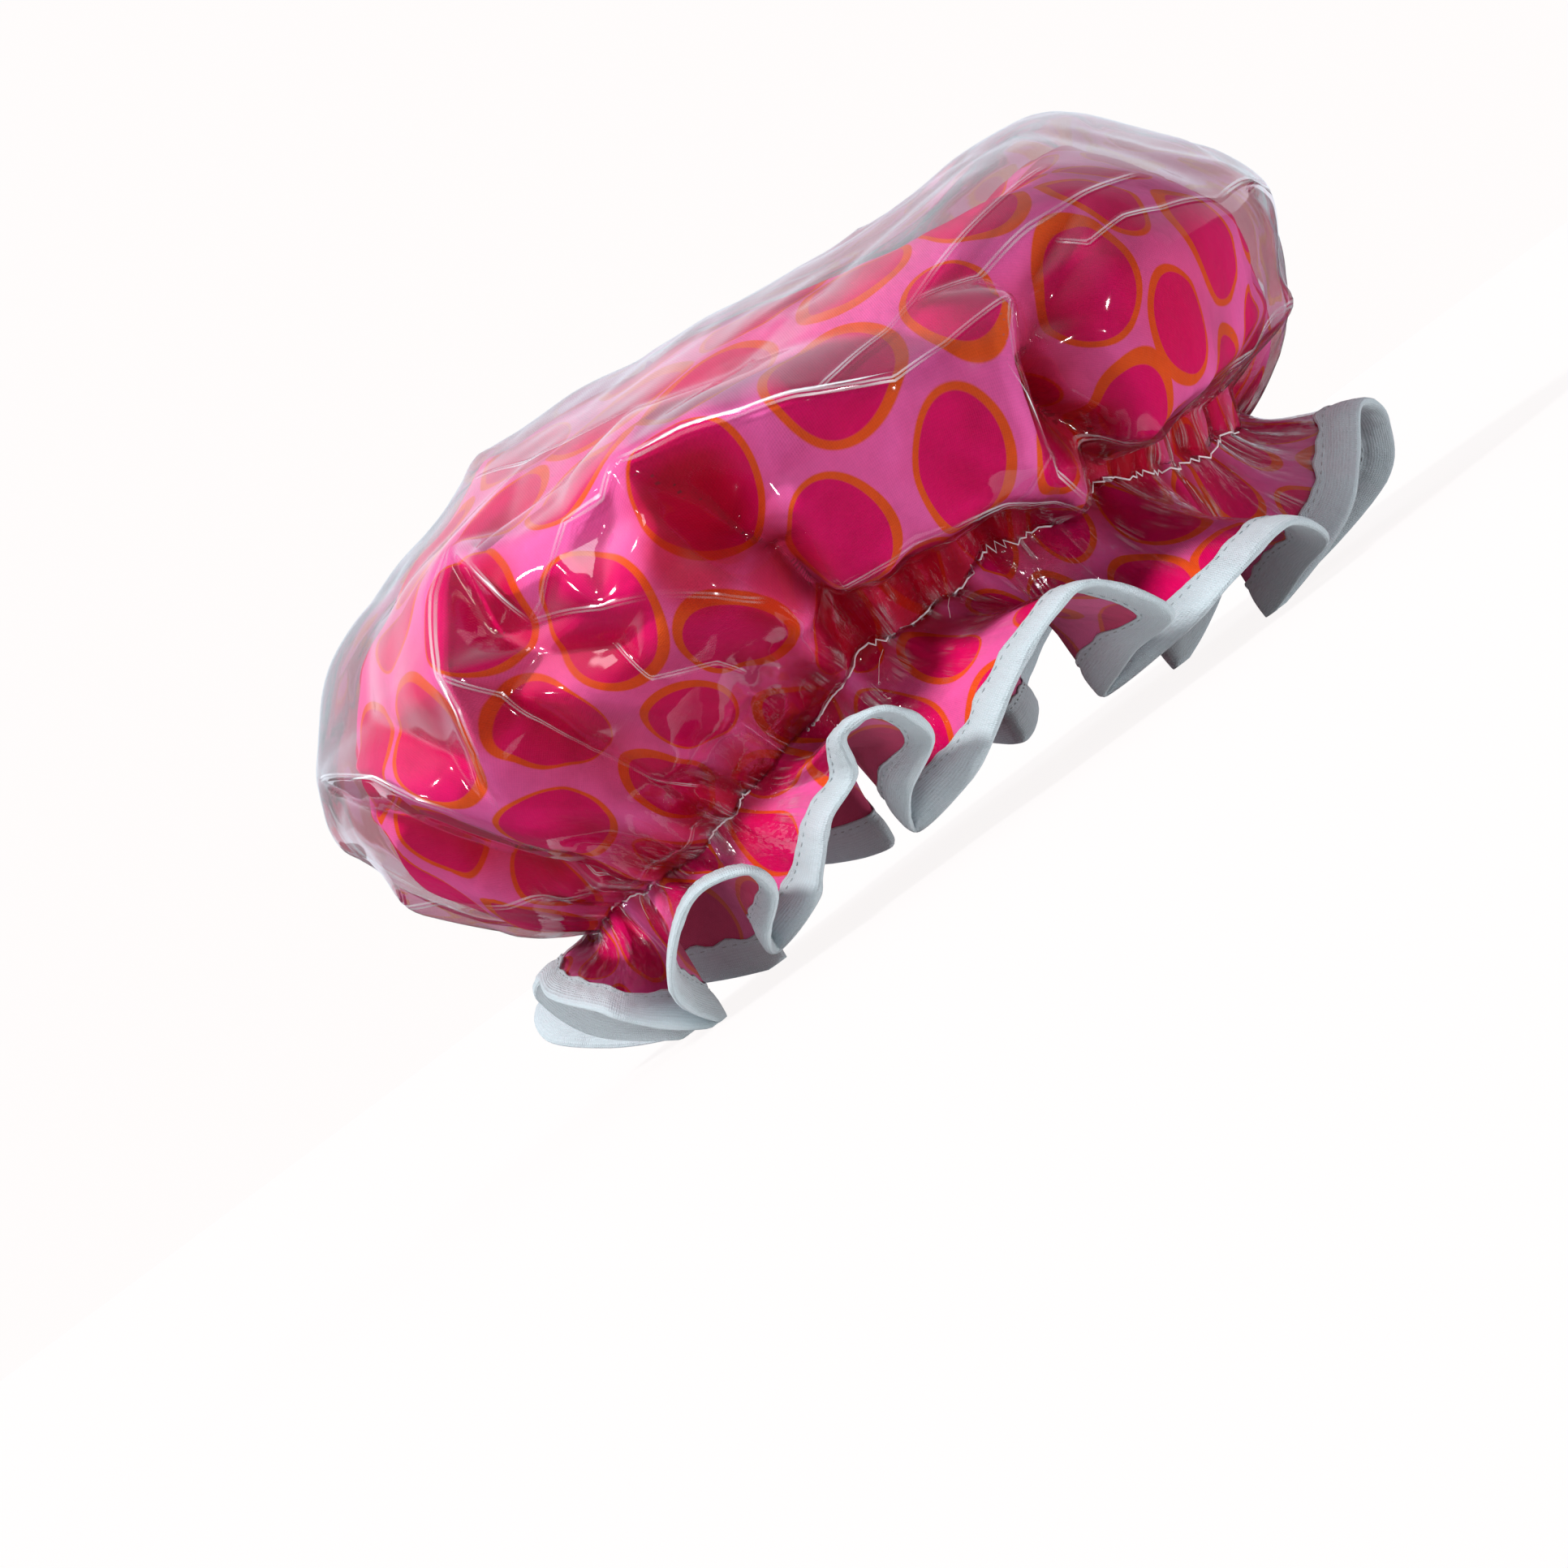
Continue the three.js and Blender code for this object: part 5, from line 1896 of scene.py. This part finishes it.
        half_sizes = w.node("ShaderNodeCombineXYZ", inputs={0: half_length, 1: radius, 2: radius})
        shaped = w.node("GeometryNodeInstanceOnPoints", inputs={
            "Points": spots.outputs["Points"], "Instance": bead.outputs[0], "Rotation": stood.outputs[0],
            "Scale": half_sizes.outputs[0]})
        builder.end(w, shaped.outputs[0], material)
        builder.apply(piece, w.tree, sizes, material)
        return piece


@dataclass
class Studio:
    """Pale floor, soft light and the camera, in metres."""

    roll_degrees: float = 36.5
    camera_place: tuple[float, float, float] = (-0.0464, -1.2003, 0.0399)
    frame_width: float = 0.425
    distance: float = 1.2
    floor_radius: float = 12.0
    floor_sides: int = 96
    floor_tone: float = 0.07
    floor_glow: float = 0.93
    floor_bounce: float = 0.6
    floor_mirrored: float = 0.06
    sky: tuple = (0.6, 0.64, 0.7)
    horizon: tuple = (0.06, 0.05, 0.05)
    rear: tuple = (0.95, 1.0, 1.1)
    behind: tuple = (1.0, 0.975, 0.97)
    # Wide lights: name, side, width in degrees, strength in watts a square metre
    suns: tuple = (
        ("key", (-0.5, -0.48, 0.72), 10, 2.9),
        ("left_fill", (-0.6, -0.8, 0.1), 30, 0.55),
        ("right_fill", (0.5, -0.85, 0.0), 30, 0.45),
        ("bounce", (0.6, -0.5, -0.65), 60, 1.7),
    )
    # Soft boxes: name, place, height that it faces, side, power in watts
    boxes: tuple = (
        ("veil", (-0.25, -0.9, 1.1), 0.08, 0.4, 2.1),
        ("spark", (-0.9, -0.75, 0.9), 0.08, 0.07, 0.9),
        ("edge_spark", (-1.1, -0.5, 0.5), 0.08, 0.12, 1.5),
        ("low_spark", (0.2, -1.1, 0.03), 0.05, 0.05, 0.5),
    )

    def camera(self) -> None:
        """Makes the camera at the photograph's angle."""
        data = bpy.data.cameras.new("camera")
        data.sensor_width = 36.0
        data.lens = data.sensor_width * self.distance / self.frame_width
        data.clip_start, data.clip_end = 0.05, 60.0
        made = in_scene("camera", data)
        roll = math.radians(self.roll_degrees)
        right = Vector((math.cos(roll), 0, -math.sin(roll)))
        up = Vector((math.sin(roll), 0, math.cos(roll)))
        turn = Matrix((right, up, Vector((0, -1, 0)))).transposed()
        made.matrix_world = Matrix.Translation(self.camera_place) @ turn.to_4x4()
        bpy.context.scene.camera = made

    def floor(self) -> None:
        """Makes the floor that the cap stands on."""
        turns = np.arange(self.floor_sides) / self.floor_sides
        ring = np.pad(ways(turns * 2 * math.pi), ((0, 0), (0, 1))) * self.floor_radius / MM
        material = new_material("floor", self._floor_shader)
        piece = mesh_object("floor", ring, [range(self.floor_sides)], [material])
        piece.visible_shadow = False

    def _floor_shader(self, w: Wiring) -> Wire:
        """Shades the floor: like the background to the camera, and a white floor to what stands on it.

        Args:
            w: the wiring of the material.

        Returns:
            The shader.
        """
        seen = w.wire("ShaderNodeLightPath", output="Is Camera Ray")
        mirrored = w.wire("ShaderNodeLightPath", output="Is Glossy Ray")
        tone = self.floor_bounce + (self.floor_tone - self.floor_bounce) * seen
        tone = tone + (self.floor_mirrored - self.floor_bounce) * mirrored
        return w.wire("ShaderNodeBsdfPrincipled", inputs={
            "Base Color": w.wire("ShaderNodeCombineColor", inputs={0: tone, 1: tone, 2: tone}),
            "Roughness": 0.9,
            "Specular IOR Level": 0.0,
            "Emission Color": w.blend(self.floor_glow * seen, (0, 0, 0, 1), (*self.behind, 1)),
            "Emission Strength": 1.0,
        })

    def light(self) -> None:
        """Makes a sky that is bright above and behind, four wide suns and four soft boxes."""
        world = bpy.data.worlds.new("studio")
        bpy.context.scene.world = world
        world.use_nodes = True
        world.node_tree.nodes.clear()
        w = Wiring(world.node_tree)
        _, back, up = w.parts(w.wire("ShaderNodeTexCoord", output="Generated"))
        low = w.blend(w.held(back * 1.6), (*self.horizon, 1), (*self.rear, 1))
        dome = w.blend(w.held(up) ** 2.0, low, (*self.sky, 1))
        lit = w.wire("ShaderNodeBackground", inputs={"Color": dome})
        plain = w.wire("ShaderNodeBackground", inputs={"Color": (*self.behind, 1)})
        seen = w.wire("ShaderNodeLightPath", output="Is Camera Ray")
        both = w.wire("ShaderNodeMixShader", inputs={0: seen, 1: lit, 2: plain})
        w.node("ShaderNodeOutputWorld", inputs={"Surface": both})
        for sun in self.suns:
            self._sun(*sun)
        for box in self.boxes:
            self._box(*box)

    @staticmethod
    def _aimed(name: str, data: bpy.types.Light, place: tuple, level: float = 0.0) -> bpy.types.Object:
        """Hangs a light and turns it to the cap.

        Args:
            name: its name.
            data: the light.
            place: where it hangs.
            level: the height on the cap's axis that it faces.

        Returns:
            The light's object.
        """
        made = in_scene(name, data)
        made.location = place
        made.rotation_mode = "QUATERNION"
        made.rotation_quaternion = (Vector((0, 0, level)) - Vector(place)).to_track_quat("-Z", "Y")
        return made

    def _sun(self, name: str, place: tuple, spread: float, strength: float) -> None:
        """Makes a wide even light that gives no highlights.

        Args:
            name: its name.
            place: the side that it comes from.
            spread: its width in degrees.
            strength: what it gives a square metre, in watts.
        """
        data = bpy.data.lights.new(name, "SUN")
        data.angle, data.energy = math.radians(spread), strength
        self._aimed(name, data, place).visible_glossy = False

    def _box(self, name: str, place: tuple, level: float, size: float, power: float) -> None:
        """Makes one soft box.

        Args:
            name: its name.
            place: where it hangs.
            level: the height on the cap that it faces.
            size: its side.
            power: its power in watts.
        """
        data = bpy.data.lights.new(name, "AREA")
        data.shape, data.size, data.energy = "SQUARE", size, power
        self._aimed(name, data, place, level).visible_diffuse = False


def place_piece(piece: bpy.types.Object, node: str) -> None:
    """Puts a piece in a CAD node's stead.

    Args:
        piece: the piece.
        node: the CAD node.
    """
    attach(piece, "root")
    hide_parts(node)
    piece.data.calc_loop_triangles()
    size = np.ptp(np.array(piece.bound_box), axis=0) / MM
    LOG.info("%s: %d triangles, %.0f x %.0f x %.0f mm", piece.name, len(piece.data.loop_triangles), *size)


def main() -> None:
    """Builds the scene."""
    logging.basicConfig(level=logging.INFO, format="%(name)s: %(message)s")
    scene = bpy.context.scene
    scene.view_settings.view_transform = "Standard"
    shape = CapShape()
    layers, gathers, hem = Layers(Sewing(shape, shape.net())), Gathers(shape), Hem(shape)
    film, film_surface = layers.film()
    cloth = layers.cloth()
    place_piece(film, "outer_film")
    place_piece(cloth, "printed_fabric")
    place_piece(gathers.elastic(layers.cloth_columns), "elastic_band")
    place_piece(gathers.thread(film_surface), "gather_stitch")
    place_piece(gathers.fibres(film_surface), "gather_stitch")
    tape = hem.tape()
    place_piece(tape, "edge_binding")
    place_piece(hem.stitches(), "binding_stitch")
    disc = math.pi * layers.flat_size**2 / 4
    studio = Studio()
    studio.camera()
    studio.floor()
    studio.light()


if __name__ == "__main__":
    main()
